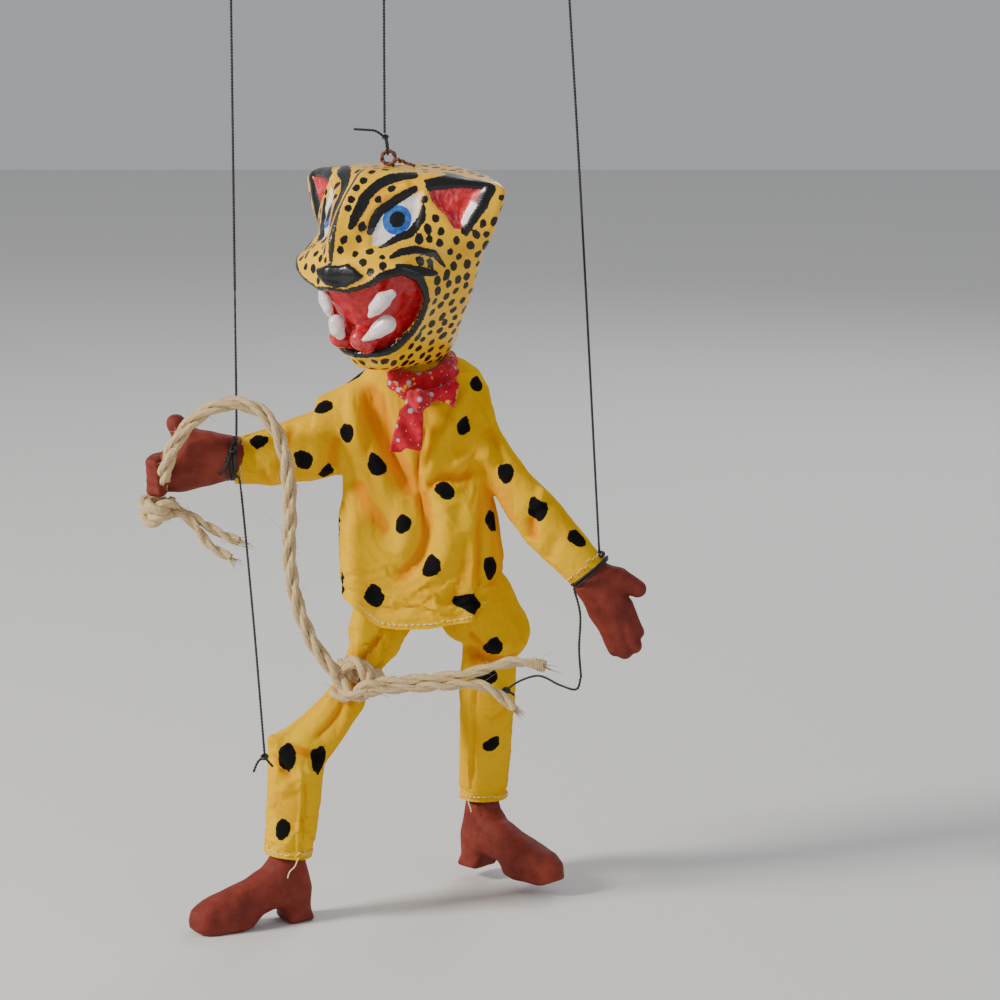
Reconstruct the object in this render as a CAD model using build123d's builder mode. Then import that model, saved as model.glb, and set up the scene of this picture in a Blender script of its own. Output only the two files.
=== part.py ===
from build123d import *
import math
import os

# A string marionette of a spotted-cat dancer, standing about 357 mm tall to the top of its head.
# Frame: +Z up, the chest faces -Y and the puppet's own left side is +X.  All sizes are in millimetres.
# Places below are laid out from the head string, with z = 0 on the plane of the right boot's sole.
# Each finished part is then moved by LAYOUT_SHIFT, so that the origin is the bottom centre of the whole.

os.makedirs("parts", exist_ok=True)

# ---- driving dimensions ----
LAYOUT_SHIFT = Vector(-2.245, 10.255, 0.0)
STRING_Y = -20.0          # the three control strings hang in this plane
BAR_Z = 515.0             # mid height of the control bar
BAR_LENGTH = 192.0
BAR_DEPTH = 18.0
BAR_HEIGHT = 8.0
STRING_R = 0.65           # waxed cord, 1.3 mm thick
STRING_HOLE_R = 2.0
HANGING_HOLE_R = 3.0
WIRE_R = 0.8              # limb wire
EYE_R = 2.3               # radius of a wire eye at its centre line
STICK_R = 4.0             # waist stick
CLOTH = 1.2               # garment wall, with its folds
ROPE_R = 3.3              # two-strand sisal rope
BALL_TURN = Vector(17, 29, 41)   # keeps the poles of knots clear of the cords that leave them
HEAD_YAW = 38.0           # the head looks this far to the puppet's right
HEAD_CENTRE = Vector(4.7, -14.0, 0.0)
NECK_PEG_R = 5.0
NECK_BORE_R = 5.5

# ---- joints of the figure ----
EYELET = Vector(0.0, STRING_Y, 362.2)
NECK = Vector(18.5, 0.0, 264.0)
RIGHT_SHOULDER = Vector(-21.0, -2.0, 246.0)
RIGHT_ELBOW = Vector(-41.6, -10.0, 223.0)
RIGHT_WRIST = Vector(-72.0, STRING_Y, 220.5)
LEFT_SHOULDER = Vector(43.0, -3.0, 245.5)
LEFT_ELBOW = Vector(62.1, -12.0, 204.0)
LEFT_WRIST = Vector(90.5, STRING_Y, 169.5)
RIGHT_HIP = Vector(-1.0, -2.0, 160.0)
RIGHT_KNEE = Vector(-44.5, -36.0, 88.0)
RIGHT_ANKLE = Vector(-49.6, -37.0, 39.0)
LEFT_HIP = Vector(31.0, 0.0, 160.0)
LEFT_KNEE = Vector(46.5, 4.0, 110.0)
LEFT_ANKLE = Vector(43.0, 34.0, 48.0)
THIGH_CINCH = Vector(-15.6, -24.0, 116.5)   # where the rope draws the right trouser leg in

RIGHT_THIGH_SIDE = Vector(0.66, -0.75, 0.0).normalized()   # hinge axis of the splayed right leg
RIGHT_BOOT_WAY = Vector(-0.88, -0.475, 0.0).normalized()
LEFT_BOOT_WAY = Vector(0.745, -0.667, 0.0).normalized()
ARM_AXIS = Vector(0.0, 1.0, 0.0)
LEG_AXIS = Vector(1.0, 0.0, 0.0)

RIGHT_STRING_X = -72.2
HEAD_STRING_X = -1.8
LEFT_STRING_TOP_X = 78.1
HANGING_HOLE_X = 32.0

parts = []


def keep(piece, name):
    """Put a finished sub-part in its final place, label it and write it out under its own name."""
    piece = piece.moved(Location(LAYOUT_SHIFT))
    piece.label = name
    export_step(piece, f"parts/{name}.step")
    parts.append(piece)


def frame_at(point, direction):
    """A plane at a point, with its normal along a direction."""
    return Plane(origin=point, z_dir=direction)


def add_rod(start, end, radius, end_radius=None):
    """Add a straight round rod, or a tapered one, between two points."""
    span = end - start
    with Locations(frame_at(start, span)):
        if end_radius is None:
            Cylinder(radius, span.length, align=(Align.CENTER, Align.CENTER, Align.MIN))
        else:
            Cone(radius, end_radius, span.length, align=(Align.CENTER, Align.CENTER, Align.MIN))


def add_ball(point, radius):
    with Locations(Location(point, BALL_TURN)):
        Sphere(radius)


def add_ring(point, normal, ring_radius, wire_radius):
    with Locations(frame_at(point, normal)):
        Torus(ring_radius, wire_radius)


def across(direction, axis):
    """The part of a direction that is square to an axis, as a unit vector."""
    return (direction - axis * direction.dot(axis)).normalized()


def add_child_eye(joint, axis, toward):
    """A wire eye centred on a hinge; returns where its shank starts."""
    add_ring(joint, axis, EYE_R, WIRE_R)
    return joint + across(toward - joint, axis) * EYE_R


def add_parent_eye(joint, axis, toward):
    """The eye that the child's eye hangs in; its wire crosses the hinge along the axis."""
    inward = across(toward - joint, axis)
    centre = joint + inward * EYE_R
    add_ring(centre, inward.cross(axis), EYE_R, WIRE_R)
    return centre + inward * EYE_R


def limb_wire(name, start, start_axis, end, end_axis, bend=None):
    """A bent wire bone: an eye at the joint above, and an eye at the joint below."""
    first = bend if bend is not None else end
    last = bend if bend is not None else start
    with BuildPart() as wire:
        top = add_child_eye(start, start_axis, first)
        foot = add_parent_eye(end, end_axis, last)
        if bend is None:
            add_rod(top, foot, WIRE_R)
        else:
            add_rod(top, bend, WIRE_R)
            add_rod(bend, foot, WIRE_R)
            add_ball(bend, WIRE_R)
        add_ball(top, WIRE_R)
        add_ball(foot, WIRE_R)
    keep(wire.part, name)


def cloth_tube(name, stations):
    """An open sleeve of cloth through (centre, radius) stations; its ends stay open."""
    centres = [Vector(*centre) for centre, _ in stations]
    with BuildPart() as tube:
        for inset, mode in ((0.0, Mode.ADD), (CLOTH, Mode.SUBTRACT)):
            for index, centre in enumerate(centres):
                before = centres[max(index - 1, 0)]
                after = centres[min(index + 1, len(centres) - 1)]
                with BuildSketch(Plane(origin=centre, x_dir=(0, 1, 0), z_dir=after - before)):
                    Circle(stations[index][1] - inset)
            loft(ruled=True, mode=mode)
    keep(tube.part, name)


def cord(name, points, radius, knot=None, knot_radius=0.0):
    """A cord through a few points, with an optional stop knot at one place."""
    with BuildPart() as line:
        with BuildLine():
            path = Spline([Vector(*p) for p in points]) if len(points) > 2 else Line(*points)
        with BuildSketch(Plane(origin=path @ 0, z_dir=path % 0)):
            Circle(radius)
        sweep()
        if knot is not None:
            add_ball(Vector(*knot), knot_radius)
    keep(line.part, name)


def between(start, end, share):
    return start + (end - start) * share


# ---- control bar ----
with BuildPart() as control_bar:
    with BuildSketch(Plane.XY.offset(BAR_Z - BAR_HEIGHT / 2)):
        with Locations((3.0, STRING_Y)):
            SlotOverall(BAR_LENGTH, BAR_DEPTH)
    extrude(amount=BAR_HEIGHT)
    fillet(control_bar.edges().filter_by(Plane.XY), 1.2)
    bar_top = Plane.XY.offset(BAR_Z + BAR_HEIGHT / 2)
    with Locations(bar_top):
        with Locations(*[(x, STRING_Y) for x in (RIGHT_STRING_X, HEAD_STRING_X, LEFT_STRING_TOP_X)]):
            Hole(STRING_HOLE_R)
        with Locations((HANGING_HOLE_X, STRING_Y)):
            Hole(HANGING_HOLE_R)
keep(control_bar.part, "control_bar")

# ---- the three control strings, each with a stop knot above the bar ----
KNOT_R = 2.6
KNOT_Z = BAR_Z + BAR_HEIGHT / 2 + KNOT_R + 0.8
WRIST_TIE_R = 11.6
RIGHT_TIE_X = RIGHT_WRIST.X + 4.0
LEFT_TIE = between(LEFT_WRIST, LEFT_ELBOW, 0.12)

cord("head_string", [(HEAD_STRING_X, STRING_Y, KNOT_Z), (HEAD_STRING_X, STRING_Y, 374.9)], STRING_R,
     (HEAD_STRING_X, STRING_Y, KNOT_Z), KNOT_R)
cord("right_hand_string", [(RIGHT_STRING_X, STRING_Y, KNOT_Z), (RIGHT_STRING_X, STRING_Y, 234.0)], STRING_R,
     (RIGHT_STRING_X, STRING_Y, KNOT_Z), KNOT_R)
cord("left_hand_string", [(LEFT_STRING_TOP_X, STRING_Y, KNOT_Z), (97.6, STRING_Y, 183.6)], STRING_R,
     (LEFT_STRING_TOP_X, STRING_Y, KNOT_Z), KNOT_R)

with BuildPart() as head_string_knot:
    add_ring(Vector(-0.6, STRING_Y, 367.4), Vector(1, 0, 0), 4.0, STRING_R)
    add_ball(Vector(-1.4, STRING_Y, 371.5), 2.3)
    add_rod(Vector(-1.4, STRING_Y, 371.5), Vector(-16.0, STRING_Y - 1.0, 375.5), STRING_R)
keep(head_string_knot.part, "head_string_knot")

# ---- head: a hollow papier-mache shell, wide at the ears and narrow at the chin ----
HEAD_PLANE = Plane(
    origin=HEAD_CENTRE,
    x_dir=(math.cos(math.radians(HEAD_YAW)), -math.sin(math.radians(HEAD_YAW)), 0),
    z_dir=(0, 0, 1),
)
# height, nose forward, muzzle half width and forward, side half width and back, rear half width and back
HEAD_SECTIONS = [
    (266.5, 27, 15, 22, 18, -14, 12, -28),
    (290.0, 43, 28, 34, 31, -7, 20, -24),
    (311.0, 52, 33, 39, 41, -5, 26, -22),
    (332.0, 47, 30, 30, 52, -2, 30, -20),
    (352.0, 35, 30, 22, 65, 0, 36, -20),
    (358.5, 20, 24, 16, 46, 2, 28, -16),
]
MOUTH_ROOF = 305.0
MOUTH_FLOOR = 273.5
MOUTH_HALF_WIDTH = 27.0
FANG_ROOTS = 17.0
TURN_AXIS = (EYELET - NECK).normalized()


def head_outline(nose, muzzle_half, muzzle, side_half, side, rear_half, rear):
    """The corners of one level of the head from above; forward is -y of the head's plane."""
    left_side = [(muzzle_half, -muzzle), (side_half, -side), (rear_half, -rear)]
    right_side = [(-x, y) for x, y in reversed(left_side)]
    return [(0, -nose)] + left_side + right_side


with BuildPart() as head_shell:
    for level, *outline in HEAD_SECTIONS:
        with BuildSketch(HEAD_PLANE.offset(level)):
            with BuildLine():
                Polyline(head_outline(*outline), close=True)
            make_face()
    loft(ruled=True)
    # the open mouth, a wedge cut in from the front
    with BuildSketch(Plane(origin=HEAD_CENTRE, x_dir=-HEAD_PLANE.y_dir, z_dir=-HEAD_PLANE.x_dir)):
        with BuildLine():
            Polyline([(70, MOUTH_ROOF), (24, MOUTH_ROOF), (13, 292), (11, MOUTH_FLOOR), (70, MOUTH_FLOOR)],
                     close=True)
        make_face()
    extrude(amount=MOUTH_HALF_WIDTH, both=True, mode=Mode.SUBTRACT)
    # the hollow of the skull, and the neck bore that opens into it from below
    with BuildSketch(HEAD_PLANE.offset(314.0)):
        with Locations((0, 2)):
            Ellipse(24, 15)
    with BuildSketch(HEAD_PLANE.offset(349.0)):
        with Locations((0, -2)):
            Ellipse(34, 13)
    loft(mode=Mode.SUBTRACT)
    with Locations(frame_at(NECK - TURN_AXIS * 8, TURN_AXIS)):
        Cylinder(NECK_BORE_R, 70, align=(Align.CENTER, Align.CENTER, Align.MIN), mode=Mode.SUBTRACT)
keep(head_shell.part, "head_shell")

for fang_name, forward, side, root, length in (
    ("upper_fangs", 30.0, FANG_ROOTS, MOUTH_ROOF, -14.0),
    ("lower_fangs", 16.5, 11.0, MOUTH_FLOOR, 14.0),
):
    with BuildPart() as fangs:
        for x in (-side, side):
            foot = HEAD_PLANE.from_local_coords(Vector(x, -forward, root))
            tip = HEAD_PLANE.from_local_coords(Vector(x * 0.9, -forward - 1.0, root + length))
            add_rod(foot, Vector(foot.X, foot.Y, tip.Z), 3.8, 1.2)
    keep(fangs.part, fang_name)

with BuildPart() as eyelet:
    add_ring(EYELET, Vector(0, 1, 0), 3.2, 0.9)
    add_rod(EYELET - TURN_AXIS * 3.2, EYELET - TURN_AXIS * 16, 0.9)
keep(eyelet.part, "eyelet")

# ---- body frame inside the shirt ----
CHEST = (12.0, 0.0, 232.0)
HIPS = (15.0, 0.0, 176.0)
with BuildPart() as chest_block:
    with Locations(CHEST):
        Box(40, 16, 30)
    fillet(chest_block.edges().filter_by(Axis.Z), 5)
    with Locations((HIPS[0], 0, CHEST[2] - 15)):
        Cylinder(STICK_R + 0.05, 14, mode=Mode.SUBTRACT)
    with Locations(frame_at(NECK - TURN_AXIS * 24, TURN_AXIS)):
        Cylinder(NECK_PEG_R + 0.05, 40, align=(Align.CENTER, Align.CENTER, Align.MIN), mode=Mode.SUBTRACT)
keep(chest_block.part, "chest_block")

with BuildPart() as neck_peg:
    add_rod(NECK - TURN_AXIS * 23, NECK + TURN_AXIS * 32, NECK_PEG_R)
keep(neck_peg.part, "neck_peg")

with BuildPart() as hip_block:
    with Locations(HIPS):
        Box(34, 16, 18)
    fillet(hip_block.edges().filter_by(Axis.Z), 4)
    with Locations((HIPS[0], 0, HIPS[2] + 9)):
        Cylinder(STICK_R + 0.05, 14, mode=Mode.SUBTRACT)
keep(hip_block.part, "hip_block")

with BuildPart() as waist_stick:
    add_rod(Vector(HIPS[0], 0, HIPS[2] + 2.2), Vector(HIPS[0], 0, CHEST[2] - 8.2), STICK_R)
keep(waist_stick.part, "waist_stick")

# Staples driven into the blocks; each ends in the eye that a limb wire hangs from.
with BuildPart() as shoulder_staples:
    for joint, inward in ((RIGHT_SHOULDER, Vector(1, 0, 0)), (LEFT_SHOULDER, Vector(-1, 0, 0))):
        rim = add_parent_eye(joint, ARM_AXIS, joint + inward)
        add_rod(rim, rim + inward * 11, WIRE_R)
        add_ball(rim, WIRE_R)
keep(shoulder_staples.part, "shoulder_staples")

with BuildPart() as hip_staples:
    for joint, axis in ((RIGHT_HIP, RIGHT_THIGH_SIDE), (LEFT_HIP, LEG_AXIS)):
        rim = add_parent_eye(joint, axis, joint + Vector(0, 0, 1))
        block_end = Vector(min(max(rim.X, HIPS[0] - 13), HIPS[0] + 13), rim.Y, HIPS[2] - 9 + 4)
        add_rod(rim, block_end, WIRE_R)
        add_ball(rim, WIRE_R)
keep(hip_staples.part, "hip_staples")

# ---- limb wires ----
limb_wire("right_upper_arm_wire", RIGHT_SHOULDER, ARM_AXIS, RIGHT_ELBOW, ARM_AXIS)
limb_wire("left_upper_arm_wire", LEFT_SHOULDER, ARM_AXIS, LEFT_ELBOW, ARM_AXIS)
limb_wire("left_forearm_wire", LEFT_ELBOW, ARM_AXIS, LEFT_WRIST, ARM_AXIS)
limb_wire("right_thigh_wire", RIGHT_HIP, RIGHT_THIGH_SIDE, RIGHT_KNEE, RIGHT_THIGH_SIDE, bend=THIGH_CINCH)
limb_wire("left_thigh_wire", LEFT_HIP, LEG_AXIS, LEFT_KNEE, LEG_AXIS)
RIGHT_ANKLE_AXIS = Vector(RIGHT_BOOT_WAY.Y, -RIGHT_BOOT_WAY.X, 0)
LEFT_ANKLE_AXIS = Vector(LEFT_BOOT_WAY.Y, -LEFT_BOOT_WAY.X, 0)
limb_wire("right_shin_wire", RIGHT_KNEE, RIGHT_THIGH_SIDE, RIGHT_ANKLE, RIGHT_ANKLE_AXIS)
limb_wire("left_shin_wire", LEFT_KNEE, LEG_AXIS, LEFT_ANKLE, LEFT_ANKLE_AXIS)

# The right forearm wire runs on into the hand, which the string and the rope hold still.
RIGHT_HAND_ROOT = RIGHT_WRIST + Vector(-12, -1, 0)
with BuildPart() as right_forearm_wire:
    top = add_child_eye(RIGHT_ELBOW, ARM_AXIS, RIGHT_HAND_ROOT)
    add_rod(top, RIGHT_HAND_ROOT, WIRE_R)
    add_ball(top, WIRE_R)
keep(right_forearm_wire.part, "right_forearm_wire")

# ---- clay hands ----
HAND_THICKNESS = 15.0


def add_hand_slab(origin, outline, thickness, soften):
    """A rounded slab of clay with its flat sides facing front and back."""
    with BuildSketch(Plane(origin=origin, x_dir=(1, 0, 0), z_dir=(0, -1, 0))) as slab:
        with BuildLine():
            Polyline(outline, close=True)
        make_face()
        fillet(slab.vertices(), soften)
    extrude(amount=thickness / 2, both=True)


with BuildPart() as right_hand:
    palm_centre = RIGHT_WRIST + Vector(0, -2, 0)
    with BuildSketch(Plane(origin=palm_centre, x_dir=(1, 0, 0), z_dir=(0, -1, 0))) as palm:
        with BuildLine():
            Polyline([(-4, -8), (-4, 8), (-19, 11), (-31, 9), (-37, 2), (-39, -14), (-34, -16), (-30, -9)],
                     close=True)
        make_face()
        fillet(palm.vertices(), 2.0)
    extrude(amount=HAND_THICKNESS / 2, both=True)
    fillet(right_hand.edges().filter_by(Axis.Y, reverse=True), 2.0)
    add_rod(palm_centre + Vector(-23, 3, 6), palm_centre + Vector(-28, 4, 18), 4.4, 3.4)
    add_ball(palm_centre + Vector(-28, 4, 18), 3.4)
keep(right_hand.part, "right_hand")

with BuildPart() as left_hand:
    palm_centre = LEFT_WRIST + Vector(0, 0, 0)
    with BuildSketch(Plane(origin=palm_centre, x_dir=(1, 0, 0), z_dir=(0, -1, 0))) as palm:
        with BuildLine():
            Polyline([(0, -7), (7, -3), (21, -8), (23, -24), (25, -34), (21, -43), (16, -43), (9, -34),
                      (3, -22)], close=True)
        make_face()
        fillet(palm.vertices(), 1.8)
    extrude(amount=HAND_THICKNESS / 2, both=True)
    fillet(left_hand.edges().filter_by(Axis.Y, reverse=True), 2.0)
    add_rod(palm_centre + Vector(16, 0, -9), palm_centre + Vector(27, 0, -11), 4.4, 3.2)
    add_ball(palm_centre + Vector(27, 0, -11), 3.2)
keep(left_hand.part, "left_hand")

with BuildPart() as left_hand_eye:
    top = add_child_eye(LEFT_WRIST, ARM_AXIS, LEFT_WRIST + Vector(7, 0, -10))
    add_rod(top, LEFT_WRIST + Vector(7, 0, -10), WIRE_R)
    add_ball(top, WIRE_R)
keep(left_hand_eye.part, "left_hand_eye")

# ---- clay boots: a toe, an arch and a block heel, with a short round shaft ----
BOOT_WIDTH = 19.0
BOOT_SHAFT_R = 8.5


def boot_and_eye(side, ankle, axis, way, sole_z):
    """One boot and the wire eye set in its shaft."""
    middle = Plane(origin=(ankle.X, ankle.Y, sole_z), x_dir=way, z_dir=axis)
    up = ankle.Z - sole_z
    flip = 1 if middle.y_dir.Z > 0 else -1
    with BuildPart() as boot:
        with BuildSketch(middle) as profile:
            with BuildLine():
                Polyline([(x, y * flip) for x, y in (
                    (-12, 0), (2, 0), (4, 5), (13, 4), (21, 0), (45, 0), (51, 6), (48, 12), (30, 16),
                    (10, 24), (8.5, 30), (-8.5, 30), (-11, 18))], close=True)
            make_face()
            fillet(profile.vertices(), 1.4)
        extrude(amount=BOOT_WIDTH / 2, both=True)
        fillet(boot.edges().filter_by(lambda edge: abs((edge % 0.5).dot(axis)) < 0.5), 2.6)
    keep(boot.part, f"{side}_boot")
    with BuildPart() as eye:
        stem = ankle - Vector(0, 0, up - 22)
        top = add_child_eye(ankle, axis, stem)
        add_rod(top, stem, WIRE_R)
        add_ball(top, WIRE_R)
    keep(eye.part, f"{side}_boot_eye")


boot_and_eye("right", RIGHT_ANKLE, RIGHT_ANKLE_AXIS, RIGHT_BOOT_WAY, 0.0)
boot_and_eye("left", LEFT_ANKLE, LEFT_ANKLE_AXIS, LEFT_BOOT_WAY, 6.0)

# ---- shirt: one open cotton shell with a neck hole, arm holes and an open hem ----
# height, centre x, centre y, half width, half depth
SHIRT_SECTIONS = [
    (143.0, 15, -2, 39, 27),
    (170.0, 12, -2, 38, 25),
    (200.0, 9, -1, 36, 23),
    (226.0, 11, 0, 32, 20),
    (244.0, 12, 1, 32, 16),
    (249.2, 12.5, 0.5, 23.5, 13.5),
]
ARM_HOLE_R = 18.0
with BuildPart() as shirt_body:
    for inset, mode in ((0.0, Mode.ADD), (CLOTH, Mode.SUBTRACT)):
        for level, x, y, half_width, half_depth in SHIRT_SECTIONS:
            drop = inset if level == SHIRT_SECTIONS[-1][0] else 0.0
            with BuildSketch(Plane.XY.offset(level - drop)):
                with Locations((x, y)):
                    Ellipse(half_width - inset, half_depth - inset)
        loft(ruled=True, mode=mode)
    with Locations(Location(RIGHT_SHOULDER), Location(LEFT_SHOULDER)):
        Sphere(ARM_HOLE_R, mode=Mode.SUBTRACT)
    with Locations((20.5, 2.5, 250)):
        Cylinder(9.0, 20, mode=Mode.SUBTRACT)
keep(shirt_body.part, "shirt_body")

with BuildPart() as trouser_seat:
    for inset, mode in ((0.0, Mode.ADD), (CLOTH, Mode.SUBTRACT)):
        for level, half_width, half_depth in ((151.5, 31, 18), (183.0, 26, 14)):
            with BuildSketch(Plane.XY.offset(level)):
                with Locations((HIPS[0], -1)):
                    Ellipse(half_width - inset, half_depth - inset)
        loft(ruled=True, mode=mode)
keep(trouser_seat.part, "trouser_seat")

# ---- sleeves and trouser legs: each is open at both ends and stops short of its joints ----
cloth_tube("right_upper_sleeve", [(between(RIGHT_SHOULDER, RIGHT_ELBOW, 0.52), 10),
                                  (between(RIGHT_SHOULDER, RIGHT_ELBOW, 0.84), 10)])
cloth_tube("right_lower_sleeve", [(between(RIGHT_ELBOW, RIGHT_WRIST, 0.24), 12),
                                  (between(RIGHT_ELBOW, RIGHT_WRIST, 0.97), 10.6)])
cloth_tube("left_upper_sleeve", [(between(LEFT_SHOULDER, LEFT_ELBOW, 0.62), 9.5),
                                 (between(LEFT_SHOULDER, LEFT_ELBOW, 0.88), 9.5)])
cloth_tube("left_lower_sleeve", [(between(LEFT_ELBOW, LEFT_WRIST, 0.16), 12),
                                 (between(LEFT_ELBOW, LEFT_WRIST, 0.97), 10.4)])
cloth_tube("right_thigh_cloth", [((-9.5, -14.0, 133.0), 12), (THIGH_CINCH, 6.8),
                                 (between(THIGH_CINCH, RIGHT_KNEE, 0.5), 11),
                                 (between(THIGH_CINCH, RIGHT_KNEE, 0.82), 10)])
cloth_tube("right_shin_cloth", [(between(RIGHT_KNEE, RIGHT_ANKLE, 0.2), 13),
                                (between(RIGHT_KNEE, RIGHT_ANKLE, 0.97), 11)])
cloth_tube("left_thigh_cloth", [(between(LEFT_HIP, LEFT_KNEE, 0.5), 13),
                                (between(LEFT_HIP, LEFT_KNEE, 0.86), 13.5)])
cloth_tube("left_shin_cloth", [(between(LEFT_KNEE, LEFT_ANKLE, 0.16), 14),
                               (between(LEFT_KNEE, LEFT_ANKLE, 0.97), 11.5)])

# ---- neckerchief: a rolled wrap, then the knot with its two tails ----
with BuildPart() as neckerchief_wrap:
    add_ring(NECK - TURN_AXIS * 6.6, TURN_AXIS, 13.0, 4.4)
keep(neckerchief_wrap.part, "neckerchief_wrap")

with BuildPart() as neckerchief_knot:
    for tail in ([(8, 249), (-2, 224), (4, 226), (15, 249)], [(16, 247), (29, 243), (31, 249), (15, 252)]):
        with BuildSketch(Plane(origin=(0, -24.5, 0), x_dir=(1, 0, 0), z_dir=(0, -1, 0))):
            with BuildLine():
                Polyline(tail, close=True)
            make_face()
        extrude(amount=1.2, both=True)
    add_ball(Vector(14.0, -24.2, 249.5), 5.0)
keep(neckerchief_knot.part, "neckerchief_knot")

# ---- ties of the arm and leg strings ----
with BuildPart() as right_wrist_tie:
    add_ring(Vector(RIGHT_TIE_X, STRING_Y + 1.3, RIGHT_WRIST.Z + 0.3), RIGHT_ELBOW - RIGHT_WRIST, WRIST_TIE_R + 0.6,
             STRING_R)
keep(right_wrist_tie.part, "right_wrist_tie")

with BuildPart() as left_wrist_tie:
    add_ring(LEFT_TIE, LEFT_ELBOW - LEFT_WRIST, WRIST_TIE_R, STRING_R)
keep(left_wrist_tie.part, "left_wrist_tie")

RIGHT_KNEE_TIE = Vector(-58.8, -51.5, 83.9)
LEFT_KNEE_TIE = Vector(54.1, -13.5, 107.0)
for tie_name, place, tail in (
    ("right_knee_tie", RIGHT_KNEE_TIE, Vector(-3, -2, -6)),
    ("left_knee_tie", LEFT_KNEE_TIE, Vector(3, -2, -5)),
):
    with BuildPart() as knee_tie:
        add_rod(place, place + tail, STRING_R)
        add_rod(place, place + Vector(-tail.X, tail.Y, tail.Z), STRING_R)
        add_ball(place, 1.9)
    keep(knee_tie.part, tie_name)

cord("right_knee_string", [(-70.2, STRING_Y - 3.5, 207.0), (RIGHT_KNEE_TIE.X, RIGHT_KNEE_TIE.Y, 86.3)], STRING_R)
cord("left_knee_string", [(86.5, -33.0, 160.5), (89.0, -34.0, 138.0), (87.3, -31.0, 113.0), (80.0, -28.0, 111.0),
                          (70.7, -22.0, 116.0), (58.0, -16.5, 108.6)], STRING_R)

# ---- sisal rope: knotted under the right fist, looped over, and tied round the thigh ----
ROPE_HAND_KNOT = Vector(-110.0, -27.0, 197.0)
with BuildPart() as rope_hand_knot:
    for tail_end in (Vector(-70.8, -27.0, 180.6), Vector(-76.0, -30.0, 174.0)):
        add_rod(ROPE_HAND_KNOT, tail_end, 2.6, 1.6)
    add_ball(ROPE_HAND_KNOT, 6.2)
keep(rope_hand_knot.part, "rope_hand_knot")

cord("rope_span", [(-110.5, -34.5, 203.0), (-107.0, -36.5, 215.0), (-97.0, -36.5, 235.0), (-84.0, -36.5, 246.0),
                   (-72.0, -36.5, 249.0), (-58.0, -38.0, 245.0), (-48.5, -38.5, 227.6), (-46.0, -38.5, 202.0),
                   (-47.5, -38.5, 175.0), (-42.0, -40.0, 148.0), (-31.0, -40.0, 126.5)], ROPE_R)

THIGH_WAY = (between(THIGH_CINCH, RIGHT_KNEE, 0.5) - Vector(-9.5, -14.0, 133.0)).normalized()
with BuildPart() as rope_thigh_knot:
    add_ring(THIGH_CINCH, THIGH_WAY, 10.6, ROPE_R)
    knot_middle = THIGH_CINCH + Vector(2, -14, -1)
    add_ring(knot_middle, Vector(0.9, -0.2, 0.5), 3.6, ROPE_R)
keep(rope_thigh_knot.part, "rope_thigh_knot")

with BuildPart() as rope_ends:
    add_rod(Vector(-5.0, -45.0, 114.5), Vector(45.0, -49.0, 115.5), 5.0, 4.4)
    add_ball(Vector(45.0, -49.0, 115.5), 4.4)
    add_rod(Vector(45.0, -49.0, 115.5), Vector(73.0, -48.0, 126.0), ROPE_R, 2.2)
    add_rod(Vector(45.0, -49.0, 115.5), Vector(59.0, -50.0, 105.5), ROPE_R, 2.2)
keep(rope_ends.part, "rope_ends")
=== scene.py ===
import math

import bpy
import numpy as np
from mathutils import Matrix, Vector
from mathutils.bvhtree import BVHTree


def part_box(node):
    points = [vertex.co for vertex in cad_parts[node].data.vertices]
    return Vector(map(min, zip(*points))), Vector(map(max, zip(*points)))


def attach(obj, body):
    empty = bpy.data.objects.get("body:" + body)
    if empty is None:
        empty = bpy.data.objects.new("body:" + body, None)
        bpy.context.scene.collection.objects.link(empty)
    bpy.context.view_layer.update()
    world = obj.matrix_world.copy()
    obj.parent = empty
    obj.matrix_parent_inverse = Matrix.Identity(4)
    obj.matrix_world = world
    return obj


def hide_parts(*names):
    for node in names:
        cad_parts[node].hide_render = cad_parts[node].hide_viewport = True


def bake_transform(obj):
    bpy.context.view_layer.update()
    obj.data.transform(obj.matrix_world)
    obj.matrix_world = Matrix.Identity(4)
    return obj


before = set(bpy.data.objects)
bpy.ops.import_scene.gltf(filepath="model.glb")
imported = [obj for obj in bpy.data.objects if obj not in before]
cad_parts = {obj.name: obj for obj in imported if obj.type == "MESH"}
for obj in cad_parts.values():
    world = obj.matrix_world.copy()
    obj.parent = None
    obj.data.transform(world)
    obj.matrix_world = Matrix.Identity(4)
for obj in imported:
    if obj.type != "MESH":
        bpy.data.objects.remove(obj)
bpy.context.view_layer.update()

# Looks of a spotted-cat dancer marionette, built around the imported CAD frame.
# Places are written in millimetres in the layout of the CAD source, which is measured from the head string.
MM = 0.001
HEAD_STRING_X = -1.8
STRING_Y = -20.0
string_low, string_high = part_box("head_string")
ORIGIN = np.array([(string_low.x + string_high.x) / 2 - HEAD_STRING_X * MM,
                   (string_low.y + string_high.y) / 2 - STRING_Y * MM, 0.0])
random = np.random.default_rng(11)


def to_world(points):
    return np.asarray(points, float) * MM + ORIGIN


# ---------------------------------------------------------------- shape functions
def smooth_max(a, b, k):
    h = np.clip(0.5 - 0.5 * (b - a) / k, 0, 1)
    return b * (1 - h) + a * h + k * h * (1 - h)


def smooth_min(a, b, k):
    return -smooth_max(-a, -b, k)


def ramp(value, start, end):
    """0 before start, 1 after end, smooth between."""
    t = np.clip((value - start) / (end - start), 0, 1)
    return t * t * (3 - 2 * t)


def unit(v):
    v = np.asarray(v, float)
    return v / np.maximum(np.linalg.norm(v, axis=-1, keepdims=True), 1e-9)


def cone(p, start, end):
    """Distance to a round-ended cone between two (x, y, z, radius) stations."""
    a, b = np.array(start[:3], float), np.array(end[:3], float)
    ab = b - a
    t = np.clip(((p - a) @ ab) / (ab @ ab), 0, 1)
    return np.linalg.norm(p - a - t[..., None] * ab, axis=-1) - (start[3] + t * (end[3] - start[3]))


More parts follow.
